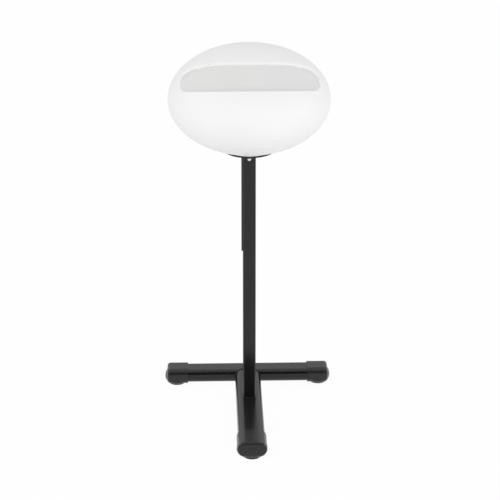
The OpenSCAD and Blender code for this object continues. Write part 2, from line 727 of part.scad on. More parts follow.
module mouth_ring() color(WHITE) at_hood() difference() {
    intersection() {
        spheroid(in_a - SEAT, in_c - SEAT);
        at_mouth() {
            translate([-hood_a, -hood_a, ring_in]) cube([hood_d, hood_d, ring_t]);
            translate([0, 0, ring_in - collar_deep]) cylinder(r = collar_r + 2.6, h = collar_deep + 1);
        }
    }
    past_panel(panel_seat - SEAT);
    at_mouth() translate([0, 0, ring_in - collar_deep - 1]) cylinder(r = collar_r, h = collar_deep + 1);
    at_mouth() translate([0, 0, ring_in - 1]) cylinder(r1 = ring_hole_r, r2 = ring_hole_r + 3, h = ring_t + 2);
    at_mouth() for (p = lug_places) translate([p[0], p[1], ring_in - 1]) cylinder(r = 2.2, h = ring_t + 2);
}

module mouth_screws() color(STEEL) at_hood() at_mouth() for (p = lug_places) translate([p[0], p[1], 0]) {
    translate([0, 0, ring_out]) cylinder(r = 3.8, h = 1.3);
    translate([0, 0, ring_in - 9]) cylinder(r = 1.65, h = ring_t + 9.5);
}

hole_rows = [for (e = [14 : 14 : 84]) e];
// Perforated bowl: rows of holes square to the wall
module inner_bowl() color(GREY) at_hood() at_mouth() difference() {
    sphere(bowl_out);
    sphere(bowl_r);
    translate([0, 0, bowl_rim]) cylinder(r = bowl_out + 5, h = bowl_out);
    for (e = hole_rows) let (n = round(26 * cos(e))) for (k = [0 : n - 1])
        rotate([0, 0, 360 * k / n]) rotate([0, 90 + e, 0]) translate([0, 0, bowl_r - 5])
            cylinder(d = air_hole_d, h = bowl_t + 10, $fn = 24);
    rotate([180, 0, 0]) translate([0, 0, bowl_r - 5]) cylinder(d = air_hole_d, h = bowl_t + 10, $fn = 24);
}

// ---------- air box ----------

// Divider between the cool fan side and the warm bowl side
module bulkhead() color(GREY) at_hood() difference() {
    intersection() {
        spheroid(in_a - SEAT, in_c - SEAT);
        translate([-hood_a, -bulkhead_y - bulkhead_t, plug_top + FACE]) cube([hood_d, bulkhead_t, hood_h]);
    }
    recess_space(shell_t + 0.5);
    translate([outlet_x0 + scroll_t, -bulkhead_y - bulkhead_t - 1, scroll_z + scroll_t])
        cube([outlet_w - 2 * scroll_t, bulkhead_t + 2, scroll_h - 2 * scroll_t]);
    translate([grommet_x, -bulkhead_y + 1, grommet_z]) rotate([90, 0, 0]) cylinder(r = 5, h = bulkhead_t + 2);
}

// Scroll with its outlet against the bulkhead
module scroll_outline(inset) {
    circle(scroll_r - inset);
    translate([outlet_x0 + inset, 0]) square([outlet_w - 2 * inset, fan_back - bulkhead_y - bulkhead_t]);
}

module fan_housing() color(DARK) at_hood() at_fan() difference() {
    translate([0, 0, scroll_z]) linear_extrude(scroll_h) scroll_outline(0);
    translate([0, 0, scroll_z + scroll_t]) linear_extrude(scroll_h - 2 * scroll_t)
        union() {
            scroll_outline(scroll_t);
            translate([outlet_x0 + scroll_t, 0])
                square([outlet_w - 2 * scroll_t, fan_back - bulkhead_y]);
        }
    translate([0, 0, scroll_z + scroll_h / 2]) cylinder(d = impeller_d - 20, h = scroll_h);
    translate([0, 0, scroll_z - 1]) cylinder(r = 9, h = scroll_t + 2);
}

// Motor with a stub bearing boss that centres it in the housing
module fan_motor() color(STEEL) at_hood() at_fan() difference() {
    union() {
        translate([0, 0, motor_z]) cylinder(d = motor_d, h = motor_h);
        translate([0, 0, motor_z + motor_h]) cylinder(r = 9 - RUN, h = 3);
    }
    translate([0, 0, motor_z + 12]) cylinder(d = shaft_d + 2 * RUN, h = motor_h);
    for (g = [0 : 45 : 315]) rotate([0, 0, g]) translate([motor_d / 2 - 1.5, -2, motor_z + 6])
        cube([3, 4, motor_h - 12]);
}

// Angle bracket that carries the motor from the bulkhead
module motor_bracket() color(STEEL) at_hood() {
    back = fan_back + 26;
    translate([-24, -back, motor_z - bracket_t])
        cube([48, back - bulkhead_y - bulkhead_t, bracket_t]);
    translate([-24, -bulkhead_y - bulkhead_t - bracket_t, motor_z - bracket_t]) cube([48, bracket_t, 34]);
}

module fan_shaft() color(STEEL) at_hood() at_fan()
    translate([0, 0, motor_z + 14]) cylinder(d = shaft_d, h = scroll_z + scroll_t + 12 - motor_z - 14);

blades = 24;
impeller_z = scroll_z + scroll_t + 5;
// Cage impeller with a back plate, a front ring and upright blades
module impeller() color(GREY) at_hood() at_fan() translate([0, 0, impeller_z]) difference() {
    union() {
        cylinder(d = impeller_d, h = 2);
        cylinder(r = 8, h = 9);
        translate([0, 0, impeller_h - 2]) ring(impeller_d / 2, impeller_d / 2 - 11, 2);
        for (k = [0 : blades - 1]) rotate([0, 0, 360 * k / blades])
            translate([impeller_d / 2 - 10, 0, 0.5]) rotate([0, 0, 35]) cube([10, 1.2, impeller_h - 1]);
    }
    translate([0, 0, -1]) cylinder(d = shaft_d, h = 12);
}

// Open frame with cross bars that the heater coils run through
module heater_frame() color(MICA) at_hood() translate([outlet_x0 - 3, -bulkhead_y, scroll_z - 2]) difference() {
    cube([heater_w, heater_l, scroll_h + 4]);
    translate([4, -1, 6]) cube([heater_w - 8, heater_l + 2, scroll_h - 8]);
}

module heater_coils() color(STEEL) at_hood()
    for (i = [0 : 3]) translate([outlet_x0 + 1 + FACE, -bulkhead_y + heater_l / 2, scroll_z + 11 + 12 * i])
        rotate([0, 90, 0]) ring(3.4, 2.2, heater_w - 8 - 2 * FACE);

thermo_x = 34;
thermo_z = 18;
module thermostat() color(BLACK) at_hood() translate([thermo_x, -bulkhead_y, thermo_z]) rotate([-90, 0, 0]) {
    cylinder(r = 8, h = 9);
    translate([0, 0, 9]) cylinder(r = 5, h = 2);
    for (x = [-1, 1]) translate([x * 4 - 1.5, -0.5, 9]) cube([3, 1, 8]);
}

module thermal_fuse() color(STEEL) at_hood()
    translate([thermo_x - 24, -bulkhead_y + 3, thermo_z - 2]) rotate([0, 90, 0]) {
        cylinder(r = 3, h = 12);
        translate([0, 0, -5]) cylinder(r = 1, h = 19);
    }

block_x = -58;
block_z = 16;
module terminal_block() color(WHITE) at_hood()
    translate([block_x, -bulkhead_y - bulkhead_t - 16, block_z]) difference() {
        cube([38, 16, 18]);
        for (i = [0 : 2]) translate([7 + 12 * i, 8, 9]) cylinder(r = 2.6, h = 10);
    }

module lead_grommet() color(BLACK) at_hood()
    translate([grommet_x, -bulkhead_y, grommet_z]) rotate([90, 0, 0]) difference() {
        union() {
            cylinder(r = 5 - RUN, h = bulkhead_t);
            translate([0, 0, bulkhead_t]) cylinder(r = 7.5, h = 1.6);
            translate([0, 0, -1.6]) cylinder(r = 7.5, h = 1.6);
        }
        translate([0, 0, -3]) cylinder(d = lead_d + 0.6, h = bulkhead_t + 6);
    }

// Route of the lead from the spindle's top to the terminal block, measured from the hood's centre
hood_lead_route = [
    [0, 0, spindle_top], [0, 0, spindle_top + 3], [-1, -2, -112], [-5, -8, -106], [-13, -17, -102],
    [-24, -28, -101], [-34, -38, -103], [-41, -46, -106], [-44, -53, -108], [-44, -60.5, -108],
    [-44, -68, -108], [-44, -75, -105], [-46, -78, -98], [-48, -78, -88], [-50, -76, -70],
    [-50, -74, -50], [-48, -72, -30], [-44, -71, -12], [-40, -70, 2], [-39, -70, 8], [-39, -70, 16]];
module hood_lead() color(DARK) at_hood() swept(hood_lead_route, lead_d);

// Foam strip that lies over the intake slots
filter_half = 10.5;
filter_gap = 0.6;
filter_t = 7.4;
filter_clear = 3.09;
filter_turn = acos((bulkhead_y + bulkhead_t + filter_clear) / (intake_r - filter_half));
module intake_filter() color(BLACK) at_hood()
    rotate([0, 0, -90 - filter_turn]) rotate_extrude(angle = 2 * filter_turn)
    polygon([for (r = [intake_r - filter_half, intake_r + filter_half])
            [r, -in_c * sqrt(1 - pow(r / in_a, 2)) + filter_gap],
        for (r = [intake_r + filter_half, intake_r - filter_half])
            [r, -in_c * sqrt(1 - pow(r / in_a, 2)) + filter_gap + filter_t]]);

// ---------- control panel ----------

panel_screw_places = [[-20, 34.5], [-20, -34.5], [28, 32.5], [28, -32.5]];
module control_panel() color(GREY) at_hood() difference() {
    intersection() {
        spheroid(hood_a, hood_c);
        at_panel() translate([-hood_a, -hood_a, panel_seat]) cube([hood_d, hood_d, panel_t]);
    }
    past_mouth(bowl_deep);
    at_panel() {
        for (x = [timer_at, heat_at]) translate([x, 0, panel_seat - 1])
            cylinder(d = knob_shaft_d + 2, h = panel_t + 2);
        translate([rocker_at, 0, panel_seat - 1]) linear_extrude(panel_t + 2)
            square([rocker_w + 3 + 2 * SEAT, rocker_h + 3 + 2 * SEAT], center = true);
        for (p = panel_screw_places) translate([p[0], p[1], panel_seat - 1]) cylinder(r = 1.7, h = panel_t + 2);
    }
}

module panel_screws() color(STEEL) at_hood() at_panel() for (p = panel_screw_places) translate([p[0], p[1], 0]) {
    translate([0, 0, panel_face]) cylinder(r = 3, h = 1.2);
    translate([0, 0, panel_seat - 5]) cylinder(r = 1.25, h = panel_t + 5.5);
}

module switch_case(at, r, deep) at_panel() difference() {
    union() {
        translate([at, 0, panel_seat - deep]) cylinder(r = r, h = deep);
        translate([at, 0, panel_seat - 0.5]) cylinder(r = knob_shaft_d / 2 + 1 - RUN, h = panel_t + 0.5);
    }
    translate([at, 0, panel_seat - deep + 6]) cylinder(d = knob_shaft_d + 2 * RUN, h = deep + panel_t);
}

module timer_body() color(DARK) at_hood() switch_case(timer_at, 17, 34);
module heat_switch() color(DARK) at_hood() switch_case(heat_at, 13, 20);

module knob(at, d, h, deep) at_panel() translate([at, 0, 0]) difference() {
    union() {
        translate([0, 0, panel_seat - deep + 7]) cylinder(d = knob_shaft_d, h = deep - 7 + panel_t + 3);
        translate([0, 0, panel_face + 0.5]) rotate_extrude()
            polygon([[0, 0], [d / 2, 0], [d / 2, 2.5], [d / 2 - 2, 3.5], [d / 2 - 3, h - 1.5],
                [d / 2 - 4.5, h], [0, h]]);
    }
    for (g = [0 : 30 : 330]) rotate([0, 0, g]) translate([d / 2 - 0.6, 0, panel_face + 4.6])
        cylinder(r = 1.8, h = h, $fn = 24);
}

module timer_knob() color(BLACK) at_hood() knob(timer_at, timer_knob_d, timer_knob_h, 34);
module heat_knob() color(BLACK) at_hood() knob(heat_at, heat_knob_d, heat_knob_h, 20);

rocker_deep = 16;
rocker_pivot = panel_face - 2.5;
module rocker_frame() color(BLACK) at_hood() at_panel() translate([rocker_at, 0, 0]) difference() {
    union() {
        translate([0, 0, panel_seat - rocker_deep]) linear_extrude(rocker_deep + panel_t)
            square([rocker_w + 3, rocker_h + 3], center = true);
        translate([0, 0, panel_face]) linear_extrude(1.5) soft_rect(rocker_w + 7, rocker_h + 7, 2);
    }
    translate([0, 0, panel_seat - rocker_deep + 3]) linear_extrude(40)
        square([rocker_w + 0.8, rocker_h + 0.8], center = true);
    translate([-rocker_w / 2 - 1.3, 0, rocker_pivot]) rotate([0, 90, 0])
        cylinder(r = 1.2 + RUN, h = rocker_w + 2.6);
}

// Rocker with a dished face and two pivot stubs
rocker_tilt = 9;
module power_rocker() color(BLACK) at_hood() at_panel() translate([rocker_at, 0, 0]) difference() {
    union() {
        translate([-rocker_w / 2, 0, rocker_pivot]) rotate([0, 90, 0]) cylinder(r = 4.6, h = rocker_w);
        translate([0, 0, rocker_pivot]) rotate([rocker_tilt, 0, 0]) translate([0, 0, 3])
            cube([rocker_w, rocker_h - 1.6, 3.4], center = true);
        translate([-rocker_w / 2 - 1.1, 0, rocker_pivot]) rotate([0, 90, 0]) cylinder(r = 1.2, h = rocker_w + 2.2);
    }
}

stem_tube();
cross_tube();
post_tube();
post_weld();
cross_weld();
cap_front();
cap_left();
cap_right();
glide_front();
glide_left();
glide_right();
guide_bush();
slot_cover();
lock_insert();
lock_pad();
lock_screw();
inlet_body();
inlet_pins();
post_lead();
mast_tube();
mast_shoe();
mast_plate();
guide_pin();
swivel_spindle();
stop_pin();
retaining_nut();
mast_lead();
hood_shell();
swivel_bush();
thrust_washer();
friction_washer();
turntable_plate();
turntable_screws();
mouth_ring();
mouth_screws();
inner_bowl();
bulkhead();
fan_housing();
fan_motor();
motor_bracket();
heater_frame();
heater_coils();
thermostat();
thermal_fuse();
terminal_block();
lead_grommet();
hood_lead();
intake_filter();
control_panel();
panel_screws();
timer_body();
heat_switch();
rocker_frame();
impeller();
fan_shaft();
timer_knob();
heat_knob();
power_rocker();
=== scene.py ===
"""Looks for a hood hair dryer on a floor stand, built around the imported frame."""
import json
import math

import bmesh
import bpy
import numpy as np
from bpy.props import FloatProperty, FloatVectorProperty, IntProperty, PointerProperty
from mathutils import Matrix, Vector


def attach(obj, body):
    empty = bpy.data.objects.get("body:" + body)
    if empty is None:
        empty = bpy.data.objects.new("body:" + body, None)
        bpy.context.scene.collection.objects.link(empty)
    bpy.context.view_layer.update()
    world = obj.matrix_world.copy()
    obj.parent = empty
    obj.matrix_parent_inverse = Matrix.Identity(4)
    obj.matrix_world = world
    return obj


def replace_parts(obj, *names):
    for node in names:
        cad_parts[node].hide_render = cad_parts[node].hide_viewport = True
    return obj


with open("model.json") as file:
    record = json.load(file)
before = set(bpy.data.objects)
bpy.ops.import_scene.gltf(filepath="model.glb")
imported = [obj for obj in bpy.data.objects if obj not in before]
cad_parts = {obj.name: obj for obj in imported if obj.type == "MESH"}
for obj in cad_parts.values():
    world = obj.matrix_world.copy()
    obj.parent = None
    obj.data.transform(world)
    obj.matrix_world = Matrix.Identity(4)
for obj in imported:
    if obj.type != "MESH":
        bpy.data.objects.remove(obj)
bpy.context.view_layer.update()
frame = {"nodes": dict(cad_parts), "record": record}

bl_info = {
    "name": "Hood hair dryer",
    "version": (1, 0, 0),
    "blender": (4, 5, 0),
    "location": "View3D > Sidebar > Hood Dryer",
    "description": "Builds the visible pieces and finishes of a hood hair dryer on a stand",
    "category": "Object",
}

NODES = frame["nodes"]
NODE_SLOTS = {row["node"]: row["material_slot"] for row in frame["record"]["subparts"]}
MM = 0.001
FAR = 50.0
DUST_COLOR = (0.42, 0.41, 0.39)

# Places and sizes of the solids, in millimetres in the frame's axes
POST_Y = 39.25
CROSS_Y = 250.25
HOOD_Z = 998.5
HOOD_R = 235.0
HOOD_H = 155.0
WALL = 4.0
SLACK = 0.15
TUBE_R = 20.0
CAP_R = 24.0
CAP_IN = 20.15
CAP_FLOOR = 13.85
TUBE_Z = 31.0
TUBE_TOP = 51.0
POST_HALF = 19.0
HALF_BASE = 259.0
STEM_REACH = 335.0
RECESS_PITCH = math.radians(17.0)
MOUTH_PITCH = math.radians(31.4)
PANEL_TURN = math.radians(58.0)
MOUTH_PLANE = 144.0
BOWL = np.array((0.0, 94.607, -11.706))
BOWL_IN = 120.0
BOWL_OUT = 122.5
RING_OUT = 55.65
RING_IN = 52.15
COLLAR_R = 114.76
PANEL_SEAT = 223.0
PANEL_FACE = 226.5
PLATE_HOLE = 10.1
PLATE_R = 74.0
PLATE_LOW = 841.5
PLATE_TOP = 846.1
KNOB_GAP = 0.5
TIMER_X = -30.0
HEAT_X = 10.0
FLOOR_SHIFT = 37.4
FLOOR_R = 305.85
FLOOR_FALL = 1.256
FOOT_W = 91.0
FOOT_L = 74.0
FOOT_RIM = 31.0
FOOT_BELLY = 9.0
FOOT_LOW = -24.0
FOOT_TOP = 18.0
FOOT_OUT = 7.0


# ---------------------------------------------------------------- settings

class DRYER_FinishSettings(bpy.types.PropertyGroup):
    """Colours and gloss of the outer surfaces."""
    hood_color: FloatVectorProperty(
        name="Hood colour", description="Colour of the moulded hood",
        subtype="COLOR", size=3, min=0, max=1, default=(0.925, 0.925, 0.925))
    hood_roughness: FloatProperty(
        name="Hood roughness", description="Roughness of the moulded hood",
        subtype="FACTOR", min=0, max=1, default=0.5)
    # Recess floor colour: darker than the hood's colour as painted shade under the lip
    recess_color: FloatVectorProperty(
        name="Recess colour", description="Colour of the grained floor of the hand recess",
        subtype="COLOR", size=3, min=0, max=1, default=(0.775, 0.78, 0.77))
    paint_color: FloatVectorProperty(
        name="Paint colour", description="Colour of the painted tubes",
        subtype="COLOR", size=3, min=0, max=1, default=(0.004, 0.004, 0.004))
    paint_roughness: FloatProperty(
        name="Paint roughness", description="Roughness of the painted tubes",
        subtype="FACTOR", min=0, max=1, default=0.2)
    cap_color: FloatVectorProperty(
        name="Cap colour", description="Colour of the end caps and knobs",
        subtype="COLOR", size=3, min=0, max=1, default=(0.014, 0.014, 0.014))


class DRYER_ShapeSettings(bpy.types.PropertyGroup):
    """Edge radii and mesh sizes of the built pieces."""
    lip_radius: FloatProperty(
        name="Lip radius", description="Rounding of the hand recess's upper lip, in metres",
        subtype="DISTANCE", unit="LENGTH", min=0.002, max=0.011, default=0.0090)
    bowl_hole: FloatProperty(
        name="Bowl hole", description="Diameter of one hole of the perforated bowl, in metres",
        subtype="DISTANCE", unit="LENGTH", min=0.002, max=0.007, default=0.0046)
    hood_voxel: FloatProperty(
        name="Hood mesh size", description="Size of the hood's mesh faces, in metres",
        subtype="DISTANCE", unit="LENGTH", min=0.0015, max=0.0023, default=0.0022)
    cap_voxel: FloatProperty(
        name="Cap mesh size", description="Size of the caps' mesh faces, in metres",
        subtype="DISTANCE", unit="LENGTH", min=0.0008, max=0.004, default=0.0014)
    weld_ripples: IntProperty(
        name="Weld ripples", description="Ripples along one side of the post's weld",
        min=4, max=60, default=16)


class DRYER_StageSettings(bpy.types.PropertyGroup):
    """Camera and light."""
    lens: FloatProperty(
        name="Lens", description="Focal length on a 36 mm sensor, in millimetres",
        min=20, max=400, default=144.1)
    distance: FloatProperty(
        name="Distance", description="Level distance from the post to the camera, in metres",
        subtype="DISTANCE", unit="LENGTH", min=1, max=20, default=5.52)
    height: FloatProperty(
        name="Height", description="Height of the camera above the floor, in metres",
        subtype="DISTANCE", unit="LENGTH", min=0.1, max=6, default=2.721)
    pitch: FloatProperty(
        name="Pitch", description="How far the camera looks down", subtype="ANGLE",
        min=0, max=1.2, default=math.radians(21.66))
    turn: FloatProperty(
        name="Turn", description="How far the camera stands round to the left", subtype="ANGLE",
        min=-0.5, max=0.5, default=math.radians(1.6))


# ---------------------------------------------------------------- shading effects

SOCKETS = {"Color": "NodeSocketColor", "Worn Color": "NodeSocketColor",
           "Normal": "NodeSocketVector", "Stretch": "NodeSocketVector"}


def new_group(name, inputs, outputs):
    """Shader node group with the named sockets and the defaults of its inputs."""
    group = bpy.data.node_groups.new(name, "ShaderNodeTree")
    for labels, way in ((inputs, "INPUT"), (outputs, "OUTPUT")):
        for label in labels:
            kind = SOCKETS.get(label, "NodeSocketFloat")
            socket = group.interface.new_socket(name=label, in_out=way, socket_type=kind)
            if way == "INPUT":
                socket.default_value = inputs[label]
    given = group.nodes.new("NodeGroupInput").outputs
    return group, given, group.nodes.new("NodeGroupOutput").inputs


def node(tree, kind, **values):
    made = tree.nodes.new(kind)
    for key, value in values.items():
        setattr(made, key, value)
    return made


def put(tree, value, socket):
    """Sets a socket to a number or a colour, or links it to another socket."""
    if isinstance(value, bpy.types.NodeSocket):
        tree.links.new(value, socket)
    elif isinstance(value, tuple):
        socket.default_value = (*value, 1.0)[:4]
    elif value is not None:
        socket.default_value = value


def math_node(tree, operation, a, b=None, clamp=False):
    made = node(tree, "ShaderNodeMath", operation=operation, use_clamp=clamp)
    put(tree, a, made.inputs[0])
    put(tree, b, made.inputs[1])
    return made.outputs[0]


def mix_color(tree, factor, a, b):
    made = node(tree, "ShaderNodeMix", data_type="RGBA")
    for value, place in ((factor, 0), (a, 6), (b, 7)):
        put(tree, value, made.inputs[place])
    return made.outputs[2]


def noise(tree, scale, detail, roughness=0.5, place=None):
    """Noise over the object's own axes, or over the given place."""
    made = node(tree, "ShaderNodeTexNoise")
    made.inputs["Detail"].default_value = detail
    if place is None:
        place = node(tree, "ShaderNodeTexCoord").outputs["Object"]
    put(tree, place, made.inputs["Vector"])
    put(tree, scale, made.inputs["Scale"])
    put(tree, roughness, made.inputs["Roughness"])
    return made.outputs["Fac"]


def bump(tree, pattern, height):
    made = node(tree, "ShaderNodeBump")
    made.inputs["Strength"].default_value = 1.0
    put(tree, height, made.inputs["Distance"])
    put(tree, pattern, made.inputs["Height"])
    return made.outputs["Normal"]


def swing(tree, pattern, amount):
    """Pattern moved to lie evenly round zero, times the amount."""
    return math_node(tree, "MULTIPLY", math_node(tree, "SUBTRACT", pattern, 0.5), amount)


def group_tone_drift():
    """Slow change of tone over a surface, with a matching change of roughness."""
    group, given, result = new_group(
        "tone_drift", {"Color": (0.5, 0.5, 0.5, 1), "Amount": 0.06, "Scale": 6.0, "Roughness": 0.4},
        ("Color", "Roughness"))
    drift = swing(group, noise(group, given["Scale"], 5.0, 0.6), given["Amount"])
    hsv = node(group, "ShaderNodeHueSaturation")
    put(group, given["Color"], hsv.inputs["Color"])
    put(group, math_node(group, "ADD", math_node(group, "MULTIPLY", drift, 2.0), 1.0), hsv.inputs["Value"])
    put(group, hsv.outputs["Color"], result["Color"])
    put(group, math_node(group, "ADD", given["Roughness"], drift, True), result["Roughness"])
    return group


def group_fine_grain():
    """Small even bumps, as moulding texture or orange peel in paint."""
    group, given, result = new_group(
        "fine_grain", {"Scale": 900.0, "Height": 0.00004, "Softness": 0.4}, ("Normal",))
    pattern = noise(group, given["Scale"], 3.0, given["Softness"])
    put(group, bump(group, pattern, given["Height"]), result["Normal"])
    return group


def group_edge_wear():
    """Rubbed edges: the worn colour shows where the surface is sharply convex."""
    group, given, result = new_group(
        "edge_wear", {"Color": (0.1, 0.1, 0.1, 1), "Worn Color": (0.3, 0.3, 0.3, 1), "Amount": 0.3},
        ("Color",))
    spread = node(group, "ShaderNodeMapRange")
    spread.inputs["From Min"].default_value = 0.53
    spread.inputs["From Max"].default_value = 0.62
    put(group, node(group, "ShaderNodeNewGeometry").outputs["Pointiness"], spread.inputs["Value"])
    broken = math_node(group, "MULTIPLY", spread.outputs["Result"], noise(group, 70.0, 6.0))
    mask = math_node(group, "MULTIPLY", broken, given["Amount"], True)
    worn = mix_color(group, mask, given["Color"], given["Worn Color"])
    put(group, worn, result["Color"])
    return group


def group_settled_dust():
    """Thin dust that lies on faces that look up."""
    group, given, result = new_group(
        "settled_dust", {"Color": (0.1, 0.1, 0.1, 1), "Roughness": 0.3, "Amount": 0.1},
        ("Color", "Roughness"))
    split = node(group, "ShaderNodeSeparateXYZ")
    put(group, node(group, "ShaderNodeNewGeometry").outputs["Normal"], split.inputs[0])
    facing = math_node(group, "POWER", math_node(group, "MAXIMUM", split.outputs["Z"], 0.0), 3.0)
    cover = math_node(group, "MULTIPLY", facing, noise(group, 260.0, 8.0, 0.7))
    mask = math_node(group, "MULTIPLY", cover, given["Amount"], True)
    put(group, mix_color(group, mask, given["Color"], DUST_COLOR), result["Color"])
    rough = math_node(group, "MULTIPLY", mask, 0.5)
    put(group, math_node(group, "ADD", given["Roughness"], rough, True), result["Roughness"])
    return group


def group_brush_lines():
    """Fine lines along one axis, as on turned or brushed metal."""
    group, given, result = new_group(
        "brush_lines", {"Stretch": (40.0, 40.0, 1500.0), "Height": 0.00002, "Roughness": 0.3, "Amount": 0.2},
        ("Normal", "Roughness"))
    scaled = node(group, "ShaderNodeVectorMath", operation="MULTIPLY")
    put(group, node(group, "ShaderNodeTexCoord").outputs["Object"], scaled.inputs[0])
    put(group, given["Stretch"], scaled.inputs[1])
    lines = noise(group, 1.0, 4.0, place=scaled.outputs[0])
    put(group, bump(group, lines, given["Height"]), result["Normal"])
    change = swing(group, lines, given["Amount"])
    put(group, math_node(group, "ADD", given["Roughness"], change, True), result["Roughness"])
    return group


EFFECTS = {
    "tone_drift": group_tone_drift, "fine_grain": group_fine_grain, "edge_wear": group_edge_wear,
    "settled_dust": group_settled_dust, "brush_lines": group_brush_lines}
GROUPS = {}


def effect(name):
    """The named effect's node group, built the first time it is asked for."""
    if name not in GROUPS:
        GROUPS[name] = EFFECTS[name]()
    return GROUPS[name]


def drift(amount, scale):
    return "tone_drift", {"Amount": amount, "Scale": scale}


def grain(scale, height, softness=0.4):
    return "fine_grain", {"Scale": scale, "Height": height, "Softness": softness}


def wear(grey, amount):
    return "edge_wear", {"Worn Color": (grey, grey, grey, 1), "Amount": amount}


def dust(amount):
    return "settled_dust", {"Amount": amount}


def brushed(stretch, amount, height=0.00002):
    return "brush_lines", {"Stretch": stretch, "Amount": amount, "Height": height}


def finish(color, roughness, *effects, **shader):
    """Row of the table below: a colour or roughness may be the name of a setting."""
    return color, roughness, effects, shader


FINISHES = {
    "gloss_black_paint": finish("paint_color", "paint_roughness", drift(0.10, 9.0), dust(0.03),
                                grain(420.0, 0.00003), Specular_IOR_Level=0.41),
    "black_moulding": finish("cap_color", 0.24, drift(0.12, 14.0), wear(0.10, 0.6), dust(0.03),
                             grain(1400.0, 0.00006), Specular_IOR_Level=0.38),
    "rubber_black": finish((0.022, 0.022, 0.022), 0.72, drift(0.2, 30.0), grain(900.0, 0.0001, 0.7),
                           Specular_IOR_Level=0.35),
    "zinc_steel": finish((0.60, 0.61, 0.63), 0.34, drift(0.18, 40.0), brushed((300.0, 300.0, 900.0), 0.25),
                         Metallic=1.0),
    "polished_steel": finish((0.78, 0.79, 0.80), 0.12, drift(0.08, 120.0),
                             brushed((900.0, 200.0, 900.0), 0.1, 0.00001), Metallic=1.0),
    "white_moulding": finish("hood_color", "hood_roughness", drift(0.012, 5.0), dust(0.02),
                             grain(700.0, 0.00002), Specular_IOR_Level=0.5),
    # Recess floor: the darker colour is painted shade under the lip; the grain bump and roughness are surface
    # texture
    "recess_grain_and_painted_shade": finish("recess_color", 0.7, drift(0.03, 9.0), grain(900.0, 0.0001, 0.7),
                           Specular_IOR_Level=0.3),
    "grey_moulding": finish((0.26, 0.265, 0.275), 0.45, drift(0.05, 12.0), wear(0.42, 0.35), dust(0.08),
                            grain(1600.0, 0.00008)),
    "dark_moulding": finish((0.017, 0.017, 0.018), 0.5, drift(0.1, 16.0), dust(0.1), grain(1100.0, 0.00006)),
    "nylon_white": finish((0.70, 0.69, 0.65), 0.42, drift(0.06, 30.0), grain(1200.0, 0.00004)),
    "bowl_aluminium": finish((0.66, 0.67, 0.68), 0.36, drift(0.08, 18.0), brushed((60.0, 900.0, 900.0), 0.2),
                             Metallic=1.0),
    "mica_board": finish((0.42, 0.35, 0.22), 0.55, drift(0.35, 60.0), grain(500.0, 0.0001)),
    "heater_wire": finish((0.30, 0.27, 0.24), 0.5, drift(0.3, 90.0),
                          brushed((1400.0, 60.0, 60.0), 0.3, 0.0002), Metallic=1.0),
    "brass": finish((0.68, 0.50, 0.22), 0.28, drift(0.12, 60.0), brushed((200.0, 200.0, 1200.0), 0.2),
                    Metallic=1.0),
    "foam": finish((0.016, 0.016, 0.016), 0.9, drift(0.5, 400.0), grain(450.0, 0.0008, 0.8),
                   Sheen_Weight=0.2),
    "lead_sheath": finish((0.02, 0.02, 0.02), 0.42, drift(0.12, 40.0), grain(700.0, 0.00005)),
    "dial_print": finish((0.80, 0.80, 0.79), 0.5, drift(0.04, 60.0)),
}
MADE = {}


def material(name):
    """The named material, built the first time it is asked for: its effects lie in front of its shader."""
    if name in MADE:
        return MADE[name]
    settings = bpy.context.scene.dryer_finish
    color, roughness, effects, shader = FINISHES[name]
    color = getattr(settings, color) if isinstance(color, str) else color
    roughness = getattr(settings, roughness) if isinstance(roughness, str) else roughness
    made = MADE[name] = bpy.data.materials.new(name + "_finish")
    made.use_nodes = True
    made.diffuse_color = (*color, 1.0)
    tree = made.node_tree
    bsdf = tree.nodes["Principled BSDF"]
    for key, value in shader.items():
        bsdf.inputs[key.replace("_", " ")].default_value = value
    now = {"Base Color": (*color, 1.0), "Roughness": roughness}
    for kind, values in effects:
        step = node(tree, "ShaderNodeGroup", node_tree=effect(kind))
        for key, value in values.items():
            step.inputs[key].default_value = value
        for key, carried in (("Color", "Base Color"), ("Roughness", "Roughness"), ("Normal", "Normal")):
            if key in step.inputs:
                put(tree, now[carried], step.inputs[key])
            if key in step.outputs:
                now[carried] = step.outputs[key]
    for key, value in now.items():
        put(tree, value, bsdf.inputs[key])
    return made


# ---------------------------------------------------------------- shape helpers

def placed(name, data):
    """Object with the data, put into the scene."""
    made = bpy.data.objects.new(name, data)
    bpy.context.scene.collection.objects.link(made)
    return made


def used_up(piece):
    """Mesh of an object with its modifiers or its text worked out. The object is removed."""
    depsgraph = bpy.context.evaluated_depsgraph_get()
    mesh = bpy.data.meshes.new_from_object(piece.evaluated_get(depsgraph))
    bpy.data.objects.remove(piece)
    return mesh


def finish_piece(mesh, name, slot, body, smooth=True):
    """Piece from a mesh in metres, with its finish and the body that it rides on."""
    mesh.polygons.foreach_set("use_smooth", [smooth] * len(mesh.polygons))
    piece = placed(name, mesh)
    mesh.materials.clear()
    mesh.materials.append(material(slot))
    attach(piece, body)
    return piece


def tube_faces(rings, sides):
    """Quads between rings of points, all rings alike, with the last ring joined to the first."""
    return [(i * sides + k, i * sides + (k + 1) % sides, (i + 1) % rings * sides + (k + 1) % sides,
             (i + 1) % rings * sides + k) for i in range(rings) for k in range(sides)]


def lathe_mesh(profile, steps):
    """Mesh turned about the Z axis from a closed profile of (radius, height), in millimetres."""
    points = []
    for k in range(steps):
        g = 2 * math.pi * k / steps
        points += [(r * math.cos(g), r * math.sin(g), z) for r, z in profile]
    mesh = bpy.data.meshes.new("turned")
    mesh.from_pydata(points, [], tube_faces(steps, len(profile)))
    return mesh


def merged(meshes, outwards=False):
    """One mesh from several, which are used up. outwards turns all faces to look out."""
    whole = bmesh.new()
    for mesh in meshes:
        whole.from_mesh(mesh)
        bpy.data.meshes.remove(mesh)
    if outwards:
        bmesh.ops.recalc_face_normals(whole, faces=whole.faces)
    mesh = bpy.data.meshes.new("merged")
    whole.to_mesh(mesh)
    whole.free()
    return mesh


